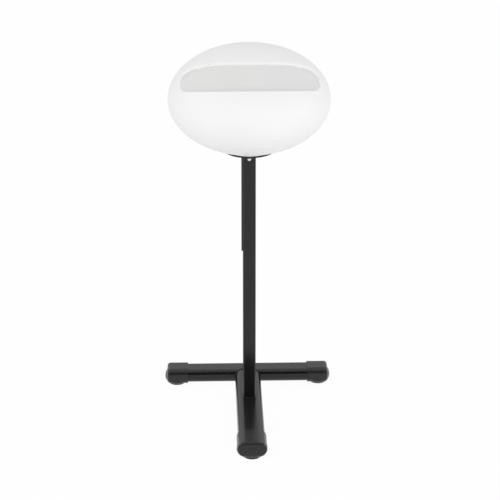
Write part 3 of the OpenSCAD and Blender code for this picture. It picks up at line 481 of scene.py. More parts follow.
def soft_corner(points, r, steps=4):
    """Closed outline from points (x, y, rounded or not); the rounded ones get radius r."""
    out = []
    for i, (x, y, soft) in enumerate(points):
        if not soft:
            out.append((x, y))
            continue
        here = Vector((x, y))
        a = (Vector(points[i - 1][:2]) - here).normalized()
        b = (Vector(points[(i + 1) % len(points)][:2]) - here).normalized()
        half = a.angle(b) / 2
        centre = here + (a + b).normalized() * r / math.sin(half)
        reach = r / math.tan(half)
        start, end = here + a * reach - centre, here + b * reach - centre
        for k in range(steps + 1):
            way = start.slerp(end, k / steps)
            out.append(tuple(centre + way))
    return out


def round_and(a, b, r):
    """Distance field of the overlap of two, with the edge rounded to radius r."""
    a, b = a + r, b + r
    return np.minimum(np.maximum(a, b), 0) + np.hypot(np.maximum(a, 0), np.maximum(b, 0)) - r


def round_or(a, b, r):
    """Distance field of two joined, with the inner corner filled to radius r."""
    return -round_and(-a, -b, r)


def cut(a, b, r):
    """Distance field of the first without the second."""
    return round_and(a, -b, r)


def unit(v):
    """Rows of v brought to length 1."""
    return v / np.maximum(np.linalg.norm(v, axis=1), 1e-6)[:, None]


def slopes(field, p, step=0.02):
    """Gradient of a field by central differences."""
    out = np.empty_like(p)
    for k in range(3):
        d = np.zeros(3)
        d[k] = step
        out[:, k] = (field(p + d) - field(p - d)) / (2 * step)
    return out


def settle(p, field, reach, rounds=4):
    """Moves points onto the surface of a field; points that lie further off than reach stay."""
    start = p.copy()
    for _ in range(rounds):
        f = field(p)
        g = slopes(field, p)
        size = np.maximum((g * g).sum(1), 1e-4)
        p = p - (np.clip(f, -reach, reach) / size)[:, None] * g
    far = (np.linalg.norm(p - start, axis=1) > reach) | (np.abs(field(p)) > 0.05)
    p[far] = start[far]
    return p


def net(field, low, high, step):
    """Quads round the inside of a field: one point in each cell that the surface passes through."""
    axes = [np.arange(a - 1.5 * step, b + 2.5 * step, step) for a, b in zip(low, high)]
    nx, ny, nz = (len(a) for a in axes)
    value = np.empty((nx, ny, nz), np.float32)
    yy, zz = (g.ravel() for g in np.meshgrid(axes[1], axes[2], indexing="ij"))
    for i, x in enumerate(axes[0]):
        value[i] = field(np.stack([np.full(yy.shape, x), yy, zz], 1)).reshape(ny, nz)
    inside = value < 0
    total = np.zeros((nx - 1, ny - 1, nz - 1, 3), np.float32)
    count = np.zeros((nx - 1, ny - 1, nz - 1), np.float32)
    corners = [(a, b, c) for a in (0, 1) for b in (0, 1) for c in (0, 1)]
    for first in corners:
        for axis in range(3):
            if first[axis]:
                continue
            second = tuple(1 if k == axis else v for k, v in enumerate(first))
            va, vb = (value[a:nx - 1 + a, b:ny - 1 + b, c:nz - 1 + c] for a, b, c in (first, second))
            crossed = (va < 0) != (vb < 0)
            share = np.where(crossed, va / np.where(crossed, va - vb, 1), 0)
            for k in range(3):
                total[..., k] += crossed * (first[k] + (share if k == axis else 0))
            count += crossed
    used = count > 0
    index = np.full(used.shape, -1, np.int64)
    index[used] = np.arange(used.sum())
    cells = np.argwhere(used)
    points = np.array([a[0] for a in axes]) + step * (cells + total[used] / count[used][:, None])
    faces = []
    for axis in range(3):
        u, v = (axis + 1) % 3, (axis + 2) % 3
        lower = np.delete(inside, -1, axis)
        upper = np.delete(inside, 0, axis)
        where = np.argwhere(lower != upper)
        last = np.array(inside.shape) - 1
        where = where[((where > 0) & (where < last))[:, (u, v)].all(1)]
        solid_below = lower[tuple(where.T)]
        ring = []
        for du, dv in ((0, 0), (-1, 0), (-1, -1), (0, -1)):
            cell = where.copy()
            cell[:, u] += du
            cell[:, v] += dv
            ring.append(index[tuple(cell.T)])
        ring = np.stack(ring, 1)
        ring[~solid_below] = ring[~solid_below][:, ::-1]
        faces.append(ring)
    return points, np.concatenate(faces)


def moulded(name, source, field, low, high, step, place, slot, body, relax=4):
    """Piece whose surface is a field's, in place of a node of the frame.

    place turns the field's own axes, in millimetres, into the frame's. step stays so small that a face's
    diagonal is shorter than the thinnest wall."""
    p, faces = net(field, low, high, step)
    count = len(p)
    edges = np.concatenate([faces[:, (k, (k + 1) % 4)] for k in range(4)])
    a, b = edges.T
    degree = np.maximum(np.bincount(a, minlength=count), 1)[:, None]
    reach = 0.6 * step
    p = settle(p, field, reach)
    for _ in range(relax):
        mean = np.stack([np.bincount(a, p[b, k], count) for k in range(3)], 1) / degree
        g = unit(slopes(field, p))
        pull = mean - p
        p = settle(p + 0.5 * (pull - (pull * g).sum(1)[:, None] * g), field, reach, 2)
    normals = unit(slopes(field, p))
    turn, shift = np.array(place.to_3x3()), np.array(place.translation)
    mesh = bpy.data.meshes.new(name)
    mesh.from_pydata(((p @ turn.T + shift) * MM).tolist(), [], faces.tolist())
    mesh.update()
    piece = finish_piece(mesh, name, slot, body)
    mesh.normals_split_custom_set_from_vertices((normals @ turn.T).tolist())
    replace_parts(piece, source)
    return piece


# ---------------------------------------------------------------- hood

def spheroid(p, a, c):
    q = p / (a, a, c)
    s = p / (a * a, a * a, c * c)
    far = np.linalg.norm(q, axis=1)
    return far * (far - 1) / np.maximum(np.linalg.norm(s, axis=1), 1e-9)


def oval(u, v, a, b):
    """Distance field of an ellipse with half axes a and b."""
    far = np.hypot(u / a, v / b)
    return far * (far - 1) / np.maximum(np.hypot(u / a ** 2, v / b ** 2), 1e-9)


def recess_space(p, grow):
    """Space of the hand recess, widened by grow on every side: a window over a sloping round floor."""
    x, y, z = p.T
    w = y * math.sin(RECESS_PITCH) + z * math.cos(RECESS_PITCH)
    along = -y * math.cos(RECESS_PITCH) + z * math.sin(RECESS_PITCH)
    half, low, high, middle = 200.0, 21.0, 95.0, 41.5
    low_r, arch_x, arch_w, floor_r = 14.0, 90.0, 46.0, 6.0
    ax = np.abs(x)
    top = np.maximum(ax - half, w - high)
    qx, qy = ax - (half - arch_x), w - (high - arch_w)
    top = np.where((qx > 0) & (qy > 0), oval(qx, qy, arch_x, arch_w), top)
    base = np.maximum(ax - half, low - w)
    qx, qy = ax - (half - low_r), (low + low_r) - w
    base = np.where((qx > 0) & (qy > 0), np.hypot(qx, qy) - low_r, base)
    window = np.maximum(np.where(w > middle, top, base), -along)
    floor = (np.hypot(x, y - FLOOR_SHIFT) - (FLOOR_R - FLOOR_FALL * z)) / math.hypot(1, FLOOR_FALL)
    # The floor runs out towards the bulkhead's edge, which stays under it
    shallow = 0.8 * (spheroid(p, HOOD_R, HOOD_H) + 3.7 + 0.35 * np.maximum(-68.0 - y, 0.0))
    blend = np.maximum(1 - np.abs(floor - shallow) / 6.0, 0)
    floor = np.minimum(floor, shallow) - 1.5 * blend * blend
    return round_and(window, -floor, floor_r) - grow


MOUTH = np.array((0.0, math.cos(MOUTH_PITCH), -math.sin(MOUTH_PITCH)))
MOUTH_V = np.array((0.0, math.sin(MOUTH_PITCH), math.cos(MOUTH_PITCH)))
PANEL = np.array((math.sin(PANEL_TURN), math.cos(PANEL_TURN), 0.0))
PANEL_X = np.array((math.cos(PANEL_TURN), -math.sin(PANEL_TURN), 0.0))
LUG_X = 144.0
LUG_V = (2.73 - 55.06, 2.73 + 55.06)
HOOD_LOW = -151.5
NECK_R, NECK_TOP = 74.0, -130.0
PAD_R, PAD_TOP = 76.0, -143.5
BOSS_R, BOSS_IN, BOSS_OUT, RIB_HALF, RIB_END = 7.0, 38.05, 52.05, 3.0, 214.0
PANEL_BOSSES = ((-20.0, 34.5), (28.0, 32.5))
PANEL_BOSS_R, PANEL_BOSS_IN = 5.0, 215.0
SPINDLE_R, SPINDLE_TOP = 16.05, -120.0
GROOVE_R, GROOVE_HALF, GROOVE_TOP, GROOVE_Y = 36.0, 3.4, -146.3, 6.0
SLOTS, SLOT_STEP, SLOT_R, SLOT_HALF, SLOT_SIDE, SLOT_TOP = 7, 9.5, 89.0, 10.0, 3.5, -100.0


def ease(v, start, end):
    """0 before start, 1 after end, smooth between."""
    t = np.clip((v - start) / (end - start), 0, 1)
    return t * t * (3 - 2 * t)


def lip_roll(p, lip_r):
    """Rounding of the recess's rim: crisp below, rolling over at the top."""
    w = p[:, 1] * math.sin(RECESS_PITCH) + p[:, 2] * math.cos(RECESS_PITCH)
    return 1.6 + (lip_r - 1.6) * ease(w, 40.0, 85.0) * (1 - 0.45 * ease(np.abs(p[:, 0]), 120.0, 195.0))


def shell_field(lip_r):
    """Distance field of the hood shell, measured from the hood's centre in millimetres."""
    def field(p):
        x, y, z = p.T
        r = np.hypot(x, y)
        outer = cut(spheroid(p, HOOD_R, HOOD_H), recess_space(p, 0.0), lip_roll(p, lip_r))
        outer = round_or(outer, np.maximum(r - NECK_R, z - NECK_TOP), 0.8)
        outer = round_and(outer, HOOD_LOW - z, 0.8)
        cavity = spheroid(p, HOOD_R - WALL, HOOD_H - WALL)
        cavity = np.maximum(cavity, -recess_space(p, WALL))
        cavity = np.maximum(cavity, -np.maximum(r - PAD_R, z - PAD_TOP))
        bowl = p - BOWL
        u, v, t = np.abs(bowl[:, 0]), bowl @ MOUTH_V, bowl @ MOUTH
        deep = np.maximum(t - BOSS_OUT, BOSS_IN - t)
        for lug in LUG_V:
            boss = np.hypot(u - LUG_X, v - lug) - BOSS_R
            rib = np.maximum(np.maximum(np.abs(v - lug) - RIB_HALF, LUG_X - u), u - RIB_END)
            cavity = np.maximum(cavity, -np.maximum(np.minimum(boss, rib), deep))
        out = p @ PANEL
        along = p @ PANEL_X
        for px, pz in PANEL_BOSSES:
            boss = np.hypot(along - px, np.abs(z) - pz) - PANEL_BOSS_R
            boss = np.maximum(boss, np.maximum(out - PANEL_SEAT, PANEL_BOSS_IN - out))
            cavity = np.maximum(cavity, -boss)
        shell = np.maximum(outer, -cavity)
        shell = round_and(shell, p @ MOUTH - MOUTH_PLANE, 1.6)
        shell = np.maximum(shell, out - PANEL_SEAT)
        shell = np.maximum(shell, np.where(z < SPINDLE_TOP, SPINDLE_R - r, -FAR))
        groove = np.maximum(np.abs(r - GROOVE_R) - GROOVE_HALF, z - GROOVE_TOP)
        shell = np.maximum(shell, -np.where(y < GROOVE_Y, groove, FAR))
        for i in range(SLOTS):
            a = math.radians(-90 + SLOT_STEP * (i - SLOTS // 2))
            c, s = math.cos(a), math.sin(a)
            slot = np.maximum(np.abs(x * c + y * s - SLOT_R) - SLOT_HALF, np.abs(y * c - x * s) - SLOT_SIDE)
            shell = np.maximum(shell, -np.maximum(slot, z - SLOT_TOP))
        return shell
    return field


class DRYER_OT_hood(bpy.types.Operator):
    """Builds the hood shell with its recess, lip, mouth edge and intake slots"""
    bl_idname = "dryer.hood"
    bl_label = "Hood shell"

    def execute(self, context):
        shape = context.scene.dryer_shape
        place = Matrix.Translation((0, POST_Y, HOOD_Z))
        piece = moulded("hood_shell_moulding", "hood_shell", shell_field(shape.lip_radius / MM),
                        (-HOOD_R, -HOOD_R, -152), (HOOD_R, HOOD_R, HOOD_H), shape.hood_voxel / MM, place,
                        "white_moulding", "hood")
        piece.data.materials.append(material("recess_grain_and_painted_shade"))
        # The floor inside the lip gets a darker colour as painted shade under the lip, with its own grain
        # bump
        middles = np.empty(3 * len(piece.data.polygons))
        piece.data.polygons.foreach_get("center", middles)
        middles = middles.reshape(-1, 3) / MM - np.array(place.translation)
        deep = 1.4 + 0.5 * (lip_roll(middles, shape.lip_radius / MM) - 1.6)
        painted_shade_faces = (recess_space(middles, 1.0) < 0) & (spheroid(middles, HOOD_R, HOOD_H) < -deep)
        piece.data.polygons.foreach_set("material_index", painted_shade_faces.astype(np.int32))
        return {"FINISHED"}


def bowl_place():
    """Frame of the bowl in millimetres: its middle, with Z out of the mouth."""
    turned = Matrix.Rotation(-math.pi / 2 - MOUTH_PITCH, 4, "X")
    return Matrix.Translation((BOWL[0], BOWL[1] + POST_Y, BOWL[2] + HOOD_Z)) @ turned


def ring_field(p):
    """Distance field of the mouth ring and its collar, from the hood's centre."""
    q = p - BOWL
    u, v, t = q[:, 0], q @ MOUTH_V, q @ MOUTH
    r = np.hypot(u, v)
    screw_r, throat, flare_t = 2.2, 106.6, 3.5
    plate = spheroid(p, HOOD_R - WALL - SLACK, HOOD_H - WALL - SLACK)
    plate = np.maximum(plate, np.maximum(t - RING_OUT, RING_IN - t))
    collar = np.maximum(r - COLLAR_R - 2.6, np.maximum(t - 53.0, RING_IN - 8.5 - t))
    ring = round_or(plate, collar, 1.5)
    ring = np.maximum(ring, -np.maximum(r - COLLAR_R, t - RING_IN))
    flare = throat + np.clip((t - RING_IN) / flare_t, 0, 1) ** 2 * 3.6
    ring = round_and(ring, flare - r, 0.9)
    for lug in LUG_V:
        ring = np.maximum(ring, screw_r - np.hypot(np.abs(u) - LUG_X, v - lug))
    return np.maximum(ring, p @ PANEL - (PANEL_SEAT - SLACK))


class DRYER_OT_mouth_ring(bpy.types.Operator):
    """Builds the ring that closes the hood round the bowl"""
    bl_idname = "dryer.mouth_ring"
    bl_label = "Mouth ring"

    def execute(self, context):
        place = bowl_place()
        turn = np.array(place.to_3x3())

        def field(q):
            return ring_field(q @ turn.T + BOWL)
        moulded("mouth_ring_moulding", "mouth_ring", field, (-178, -132, 42), (178, 132, 57), 2.0, place,
                "white_moulding", "hood", 2)
        return {"FINISHED"}


class DRYER_OT_bowl(bpy.types.Operator):
    """Builds the perforated metal bowl that the warm air passes through"""
    bl_idname = "dryer.bowl"
    bl_label = "Perforated bowl"

    def execute(self, context):
        rim, band = 52.0, 11.0
        net_of_holes = bmesh.new()
        bmesh.ops.create_icosphere(net_of_holes, subdivisions=5, radius=1.0)
        spread = context.scene.dryer_shape.bowl_hole / MM / 2 / BOWL_IN
        points, found, faces = [], {}, []

        def point(key, centre, way):
            if key not in found:
                found[key] = len(points)
                spot = math.cos(spread) * centre + math.sin(spread) * way.normalized()
                points.append(spot * BOWL_OUT)
            return found[key]

        for face in net_of_holes.faces:
            corners = [v.co.copy() for v in face.verts]
            names = [v.index for v in face.verts]
            if max(c.z for c in corners) * BOWL_OUT > rim - 3.0:
                continue
            ring = []
            for k in range(3):
                c, after, before = corners[k], corners[(k + 1) % 3], corners[k - 1]
                to_before = (before - c * c.dot(before)).normalized()
                to_after = (after - c * c.dot(after)).normalized()
                ring += [point((names[k], names[k - 1]), c, to_before),
                         point((names[k], face.index, "mid"), c, to_before + to_after),
                         point((names[k], names[(k + 1) % 3]), c, to_after)]
            faces.append(ring)
        net_of_holes.free()
        mesh = bpy.data.meshes.new("sheet")
        mesh.from_pydata(points, [], faces)
        sheet = placed("sheet", mesh)
        thick = sheet.modifiers.new("thick", "SOLIDIFY")
        thick.thickness = BOWL_OUT - BOWL_IN
        thick.offset = -1.0
        profile = [(math.sqrt(BOWL_OUT ** 2 - z * z), z) for z in np.linspace(rim, rim - band, 5)]
        profile += [(math.sqrt(BOWL_IN ** 2 - z * z) - 0.8, z) for z in np.linspace(rim - band, rim, 5)]
        mesh = merged((used_up(sheet), lathe_mesh(profile, 128)), True)
        mesh.transform(Matrix.Scale(MM, 4) @ bowl_place())
        piece = finish_piece(mesh, "bowl_sheet", "bowl_aluminium", "hood")
        mesh.set_sharp_from_angle(angle=math.radians(40))
        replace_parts(piece, "inner_bowl")
        return {"FINISHED"}


# ---------------------------------------------------------------- caps

def cap_field(length):
    """Distance field of an end cap: tip at x = 0, sleeve towards -X, tube axis at z = 0."""
    def field(p):
        x, y, z = p.T
        tube = np.hypot(np.maximum(np.abs(y) - TUBE_R, 0), z)
        sleeve = round_and(tube - CAP_R, x + FOOT_OUT, 10.0)
        sleeve = round_and(sleeve, -length - x, 1.2)
        q = np.hypot((x + FOOT_L / 2) / (FOOT_L / FOOT_W), y)
        level = z + FOOT_BELLY
        below = level < 0
        high = np.clip(level / (np.where(below, FOOT_LOW, FOOT_TOP) + FOOT_BELLY), -1, 1)
        reach = np.sqrt(1 - high * high)
        belly = np.where(below, FOOT_RIM + (FOOT_W / 2 - FOOT_RIM) * reach, FOOT_W * (0.275 + 0.225 * reach))
        bowl = round_and((q - belly) * 0.78, FOOT_LOW - z, 1.5)
        bowl = np.maximum(bowl, z - FOOT_TOP)
        solid = round_or(sleeve, bowl, 2.5)
        return np.maximum(solid, -np.maximum(tube - CAP_IN, x + CAP_FLOOR))
    return field


class DRYER_OT_caps(bpy.types.Operator):
    """Builds the three moulded end caps"""
    bl_idname = "dryer.caps"
    bl_label = "End caps"

    def execute(self, context):
        step = context.scene.dryer_shape.cap_voxel / MM
        tips = (("cap_front", 0, POST_Y - STEM_REACH, -90, 99.0),
                ("cap_left", -HALF_BASE, CROSS_Y, 180, 72.0), ("cap_right", HALF_BASE, CROSS_Y, 0, 72.0))
        for source, x, y, angle, length in tips:
            place = Matrix.Translation((x, y, TUBE_Z)) @ Matrix.Rotation(math.radians(angle), 4, "Z")
            moulded(source + "_moulding", source, cap_field(length), (-length, -47, -26), (0, 47, 24), step,
                    place, "black_moulding", "stand")
        return {"FINISHED"}


# ---------------------------------------------------------------- welds

def bead(name, path, outs, radius, ripples, source, body):
    """Weld bead along a closed path, with a rippled crest. outs point away from the corner."""
    sides = 9
    ahead, outs = unit(np.roll(path, -1, 0) - np.roll(path, 1, 0)), unit(outs)
    across = np.cross(ahead, outs)
    travel = np.concatenate([[0], np.cumsum(np.linalg.norm(np.diff(path, axis=0), axis=1))])
    turn = travel / travel[-1] * ripples * 2 * math.pi
    swell = radius * (1 + 0.10 * np.sin(turn) + 0.05 * np.sin(2.7 * turn + 1))[:, None]
    strips = []
    for k in range(sides):
        g = 2 * math.pi * k / sides
        c, s = math.cos(g), math.sin(g)
        strips.append(path + swell * (c * outs + s * across) - 0.25 * radius * c * ahead)
    points = np.stack(strips, 1).reshape(-1, 3)
    mesh = bpy.data.meshes.new(name)
    mesh.from_pydata((points * MM).tolist(), [], tube_faces(len(path), sides))
    mesh.update()
    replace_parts(finish_piece(mesh, name, "gloss_black_paint", body), source)


def square_path(half, corner, steps):
    """Points and outward directions round a square with rounded corners."""
    points, outs = [], []
    for q in range(4):
        for k in range(steps):
            g = math.radians(90 * q + 90 * k / (steps - 1))
            c, s = math.cos(g), math.sin(g)
            cx = (half - corner) * (1 if q in (0, 3) else -1)
            cy = (half - corner) * (1 if q in (0, 1) else -1)
            points.append((cx + corner * c, cy + corner * s))
            outs.append((c, s))
    return points, outs


def densify(points, outs, step):
    """Points and directions of a closed path, no further apart than about the step."""
    points, outs = np.array(points, float), np.array(outs, float)
    new_points, new_outs = [], []
    for i in range(len(points)):
        j = (i + 1) % len(points)
        n = max(1, int(np.linalg.norm(points[j] - points[i]) / step))
        for k in range(n):
            new_points.append(points[i] + (points[j] - points[i]) * k / n)
            new_outs.append(outs[i] + (outs[j] - outs[i]) * k / n)
    return np.array(new_points), np.array(new_outs)


class DRYER_OT_welds(bpy.types.Operator):
    """Lays the weld beads at the post's foot and at the joint of the base tubes"""
    bl_idname = "dryer.welds"
    bl_label = "Weld beads"

    def execute(self, context):
        ripples = context.scene.dryer_shape.weld_ripples * 4
        flat, ways = square_path(POST_HALF, 4.0, 7)
        points = [(x, y + POST_Y, TUBE_TOP + 0.2) for x, y in flat]
        outs = [(x, y, 0.9) for x, y in ways]
        points, outs = densify(points, outs, 0.8)
        bead("post_weld_bead", points, outs, 2.3, ripples, "post_weld", "stand")
        points, outs = [], []
        for k in range(180):
            g = 2 * math.pi * k / 180
            c, s = math.cos(g), math.sin(g)
            x = TUBE_R * (c + (1 if c >= 0 else -1))
            y = CROSS_Y - TUBE_R * (1 + math.sqrt(max(1 - s * s, 0.0)))
            points.append((x, y, TUBE_Z + TUBE_R * s))
            outs.append((c, -0.8, s * 0.6))
        points, outs = densify(points, outs, 1.0)
        bead("cross_weld_bead", points, outs, 2.4, ripples * 2, "cross_weld", "stand")
        return {"FINISHED"}


# ---------------------------------------------------------------- mast plate

class DRYER_OT_mast_plate(bpy.types.Operator):
    """Builds the round plate on top of the mast, with its edges broken"""
    bl_idname = "dryer.mast_plate"
    bl_label = "Mast plate"

    def execute(self, context):
        profile = soft_corner([(PLATE_HOLE, PLATE_LOW, False), (PLATE_R, PLATE_LOW, True),
                               (PLATE_R, PLATE_TOP, True), (PLATE_HOLE, PLATE_TOP, False)], 1.1)
        mesh = lathe_mesh(profile, 128)
        mesh.transform(Matrix.Scale(MM, 4) @ Matrix.Translation((0, POST_Y, 0)))
        piece = finish_piece(mesh, "mast_plate_turned", "gloss_black_paint", "mast")
        mesh.set_sharp_from_angle(angle=math.radians(50))
        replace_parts(piece, "mast_plate")
        return {"FINISHED"}


# ---------------------------------------------------------------- controls

def panel_matrix(x, z, out):
    """Frame of the control panel in metres: X along it, Y up, Z out of it."""
    origin = np.array((0, POST_Y, HOOD_Z)) + PANEL * out + PANEL_X * x
    columns = np.stack([-PANEL_X, (0, 0, 1), PANEL, origin * MM], 1)
    made = Matrix(np.vstack([columns, (0, 0, 0, 1)]).tolist())
    made.translation.z += z * MM
    return made


def printed(text, size, x, z):
    """Flat print on the panel: numbers only."""
    curve = bpy.data.curves.new("print", "FONT")
    curve.body = text
    curve.size = size * MM
    curve.align_x = curve.align_y = "CENTER"
    curve.extrude = 0.00004
    mesh = used_up(placed("print", curve))
    mesh.transform(panel_matrix(x, z, PANEL_FACE + 0.02))
    return mesh


def tick(x, angle, near, far, width, out):
    """Short printed line from a knob's middle outwards."""
    corners = [(r, w, h) for h in (0.0, 0.04) for r, w in (
        (near, -width / 2), (far, -width / 2), (far, width / 2), (near, width / 2))]
    faces = [(3, 2, 1, 0), (4, 5, 6, 7), (0, 1, 5, 4), (1, 2, 6, 5), (2, 3, 7, 6), (3, 0, 4, 7)]
    mesh = bpy.data.meshes.new("tick")
    mesh.from_pydata(corners, [], faces)
    mesh.transform(panel_matrix(x, 0, out + 0.01) @ Matrix.Rotation(angle, 4, "Z") @ Matrix.Scale(MM, 4))
    return mesh


def knob_field(d, h):
    """Distance field of a fluted knob that stands on z = 0."""
    def field(p):
        x, y, z = p.T
        r = np.hypot(x, y)
        flutes, skirt_top = 12, 3.2
        skirt = round_and(r - d / 2, z - skirt_top, 1.2)
        body = round_and(r - (d / 2 - 2.2 - 0.09 * z), z - h, 1.6)
        step = 2 * math.pi / flutes
        g = np.mod(np.arctan2(y, x) + step / 2, step) - step / 2
        flute = np.hypot(r * np.cos(g) - (d / 2 - 0.6), r * np.sin(g)) - 1.9
        flute = np.maximum(flute, skirt_top + 1.2 - z)
        body = round_and(body, -flute, 0.5)
        knob = np.maximum(round_or(skirt, body, 1.0), -z)
        dish = (d / 2 - 5.5) - r
        return round_and(knob, np.minimum(-dish, 0) * 0.12 + z - h + 0.02, 0.2)
    return field


class DRYER_OT_knobs(bpy.types.Operator):
    """Builds the timer and heat knobs with their pointer lines"""
    bl_idname = "dryer.knobs"
    bl_label = "Knobs"

    def execute(self, context):
        for source, body, x, d, h, rest in (("timer_knob", "timer", TIMER_X, 40.0, 17.0, 240.0),
                                            ("heat_knob", "heat", HEAT_X, 30.0, 14.0, 150.0)):
            place = panel_matrix(x, 0, PANEL_FACE + KNOB_GAP)
            place.translation /= MM
            moulded(source + "_fluted", source, knob_field(d, h), (-d / 2, -d / 2, 0), (d / 2, d / 2, h),
                    0.6, place, "black_moulding", body, 2)
            line = tick(x, math.radians(rest), d / 2 - 11, d / 2 - 4.6, 1.3, PANEL_FACE + KNOB_GAP + h)
            finish_piece(line, source + "_pointer", "dial_print", body, False)
        return {"FINISHED"}


class DRYER_OT_dials(bpy.types.Operator):
    """Prints the marks and numbers round the two knobs"""
    bl_idname = "dryer.dials"
    bl_label = "Dial marks"

    def execute(self, context):
        marks = []
        for i in range(13):
            a = math.radians(240 - 25 * i)
            marks.append(tick(TIMER_X, a, 21.6, 24.2 if i % 3 == 0 else 23.0, 0.6, PANEL_FACE))
        for label, angle in (("0", 240), ("30", 90), ("60", -60)):
            a = math.radians(angle)
            marks.append(printed(label, 4.2, TIMER_X - 27.2 * math.cos(a), 27.2 * math.sin(a)))
        for i in range(4):
            a = math.radians(150 - 40 * i)
            marks.append(tick(HEAT_X, a, 16.4, 18.2, 0.6, PANEL_FACE))
            marks.append(printed(str(i), 4.0, HEAT_X - 21.0 * math.cos(a), 21.0 * math.sin(a)))
        finish_piece(merged(marks), "panel_marks", "dial_print", "hood", False)
        return {"FINISHED"}


# ---------------------------------------------------------------- stage

# Name, place, target, size in metres, power in watts, colour and whether reflections show it
LAMPS = (("front", (-0.2, -4.6, 1.45), (0, 0, 0.85), 2.8, 34.0, (1.0, 1.0, 1.0), False),
         ("left", (-3.0, -0.5, 2.3), (0, 0, 0.5), 0.9, 9.0, (1.0, 0.985, 0.955), True),
         ("right", (3.2, -0.9, 1.3), (0, 0, 0.7), 0.9, 11.0, (0.95, 0.975, 1.0), True))
# Brightness of the reflected surroundings, from the far horizon over the top to the near one
SKY = ((0.0, 0.74), (0.16, 0.74), (0.40, 1.0), (0.585, 1.0), (0.63, 0.02), (0.80, 0.02), (0.86, 1.0),
       (1.0, 1.0))
EVEN_LIGHT = 0.82
FLOOR_GLOW = 0.965


def mix_shader(tree, factor, a, b):
    made = node(tree, "ShaderNodeMixShader")
    for value, socket in zip((factor, a.outputs[0], b.outputs[0]), made.inputs):
        put(tree, value, socket)
    return made


def seen_by(tree, *rays):
    """1 for the named kinds of ray, 0 for the others."""
    path = node(tree, "ShaderNodeLightPath")
    seen = path.outputs[rays[0]]
    for ray in rays[1:]:
        seen = math_node(tree, "MAXIMUM", seen, path.outputs[ray])
    return seen


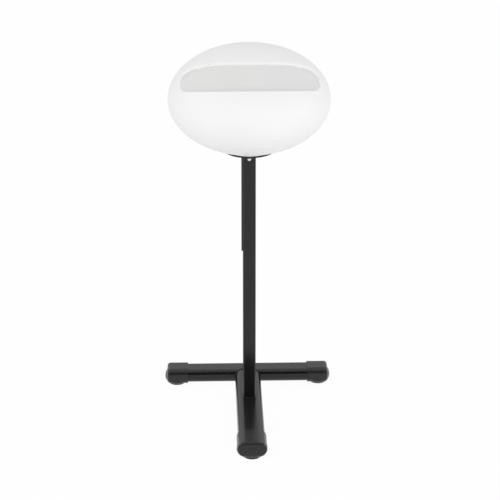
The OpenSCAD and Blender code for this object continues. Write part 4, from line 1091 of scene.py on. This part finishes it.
class DRYER_OT_stage(bpy.types.Operator):
    """Sets the floor, the lamps, the world and the camera"""
    bl_idname = "dryer.stage"
    bl_label = "Stage"

    def execute(self, context):
        scene = context.scene
        s = scene.dryer_stage
        lens = bpy.data.cameras.new("view")
        lens.lens = s.lens
        lens.sensor_width = 36.0
        lens.clip_start, lens.clip_end = 0.1, 60.0
        camera = placed("view", lens)
        aside = 0.0023
        c, d = math.cos(s.turn), math.sin(s.turn)
        camera.location = (-s.distance * d + aside * c, POST_Y * MM - s.distance * c - aside * d, s.height)
        camera.rotation_euler = (math.pi / 2 - s.pitch, 0, -s.turn)
        scene.camera = camera
        self.floor()
        for name, place, target, size, power, color, mirrored in LAMPS:
            data = bpy.data.lights.new(name, "AREA")
            data.shape, data.size, data.energy, data.color = "DISK", size, power, color
            lamp = placed(name, data)
            lamp.location = place
            lamp.rotation_euler = (Vector(target) - Vector(place)).to_track_quat("-Z", "Y").to_euler()
            lamp.visible_glossy = mirrored
        self.world(scene)
        scene.view_settings.view_transform = "Standard"
        return {"FINISHED"}

    def floor(self):
        mesh = bpy.data.meshes.new("floor")
        grid = bmesh.new()
        bmesh.ops.create_grid(grid, x_segments=8, y_segments=8, size=14.0)
        grid.to_mesh(mesh)
        grid.free()
        made = bpy.data.materials.new("studio_floor")
        made.use_nodes = True
        tree = made.node_tree
        bsdf = tree.nodes["Principled BSDF"]
        put(tree, 0.9, bsdf.inputs["Roughness"])
        put(tree, 0.1, bsdf.inputs["Specular IOR Level"])
        clouds = node(tree, "ShaderNodeTexNoise")
        put(tree, 3.0, clouds.inputs["Scale"])
        tone = mix_color(tree, clouds.outputs["Fac"], (0.84, 0.84, 0.84), (0.88, 0.88, 0.88))
        put(tree, tone, bsdf.inputs["Base Color"])
        seen = seen_by(tree, "Is Camera Ray", "Is Glossy Ray", "Is Transmission Ray")
        share = math_node(tree, "MULTIPLY", seen, FLOOR_GLOW)
        blend = mix_shader(tree, share, bsdf, node(tree, "ShaderNodeEmission"))
        put(tree, blend.outputs[0], tree.nodes["Material Output"].inputs["Surface"])
        mesh.materials.append(made)
        placed("floor", mesh)

    def world(self, scene):
        """Even light for matt surfaces; reflections see a bright ceiling with a dark gap on the near side."""
        world = bpy.data.worlds.new("studio")
        scene.world = world
        world.use_nodes = True
        tree = world.node_tree
        even = tree.nodes["Background"]
        white, mirrored = node(tree, "ShaderNodeBackground"), node(tree, "ShaderNodeBackground")
        for light, strength in ((even, EVEN_LIGHT), (white, 1.0)):
            put(tree, (1.0, 1.0, 1.0), light.inputs["Color"])
            put(tree, strength, light.inputs["Strength"])
        way = node(tree, "ShaderNodeSeparateXYZ")
        put(tree, node(tree, "ShaderNodeTexCoord").outputs["Generated"], way.inputs[0])
        # Angle over the top: 0 at the far horizon, half a turn at the near one
        over = math_node(tree, "ARCTAN2", way.outputs["Z"], way.outputs["Y"])
        shade = node(tree, "ShaderNodeValToRGB")
        shade.color_ramp.interpolation = "EASE"
        while len(shade.color_ramp.elements) < len(SKY):
            shade.color_ramp.elements.new(0.5)
        for stop, (place, level) in zip(shade.color_ramp.elements, SKY):
            stop.position = place
            stop.color = (level, level, level, 1.0)
        put(tree, math_node(tree, "DIVIDE", over, math.pi), shade.inputs[0])
        put(tree, shade.outputs[0], mirrored.inputs["Color"])
        glossy = seen_by(tree, "Is Glossy Ray", "Is Transmission Ray")
        around = mix_shader(tree, glossy, even, mirrored)
        seen = mix_shader(tree, seen_by(tree, "Is Camera Ray"), around, white)
        put(tree, seen.outputs[0], tree.nodes["World Output"].inputs["Surface"])


# ---------------------------------------------------------------- nodes kept from the frame

class DRYER_OT_finishes(bpy.types.Operator):
    """Gives every node of the frame its procedural finish"""
    bl_idname = "dryer.finishes"
    bl_label = "Finishes"

    def execute(self, context):
        for name, piece in NODES.items():
            piece.data.materials.clear()
            piece.data.materials.append(material(NODE_SLOTS[name]))
        return {"FINISHED"}


class DRYER_PT_panel(bpy.types.Panel):
    """Lists the settings and the steps"""
    bl_idname = "DRYER_PT_panel"
    bl_label = "Hood dryer"
    bl_space_type = "VIEW_3D"
    bl_region_type = "UI"
    bl_category = "Hood Dryer"

    def draw(self, context):
        scene = context.scene
        for group in (scene.dryer_finish, scene.dryer_shape, scene.dryer_stage):
            box = self.layout.box()
            for key in group.bl_rna.properties.keys():
                if key not in ("rna_type", "name"):
                    box.prop(group, key)
        for step in STEPS:
            self.layout.operator(step.bl_idname)


STEPS = (DRYER_OT_stage, DRYER_OT_finishes, DRYER_OT_hood, DRYER_OT_mouth_ring, DRYER_OT_bowl,
         DRYER_OT_mast_plate, DRYER_OT_caps, DRYER_OT_welds, DRYER_OT_knobs, DRYER_OT_dials)
CLASSES = (DRYER_FinishSettings, DRYER_ShapeSettings, DRYER_StageSettings, *STEPS, DRYER_PT_panel)


def register():
    for cls in CLASSES:
        bpy.utils.register_class(cls)
    bpy.types.Scene.dryer_finish = PointerProperty(type=DRYER_FinishSettings)
    bpy.types.Scene.dryer_shape = PointerProperty(type=DRYER_ShapeSettings)
    bpy.types.Scene.dryer_stage = PointerProperty(type=DRYER_StageSettings)


def unregister():
    for key in ("dryer_finish", "dryer_shape", "dryer_stage"):
        delattr(bpy.types.Scene, key)
    for cls in reversed(CLASSES):
        bpy.utils.unregister_class(cls)


def main():
    register()
    for step in STEPS:
        group, name = step.bl_idname.split(".")
        getattr(getattr(bpy.ops, group), name)()


if __name__ == "__main__":
    main()
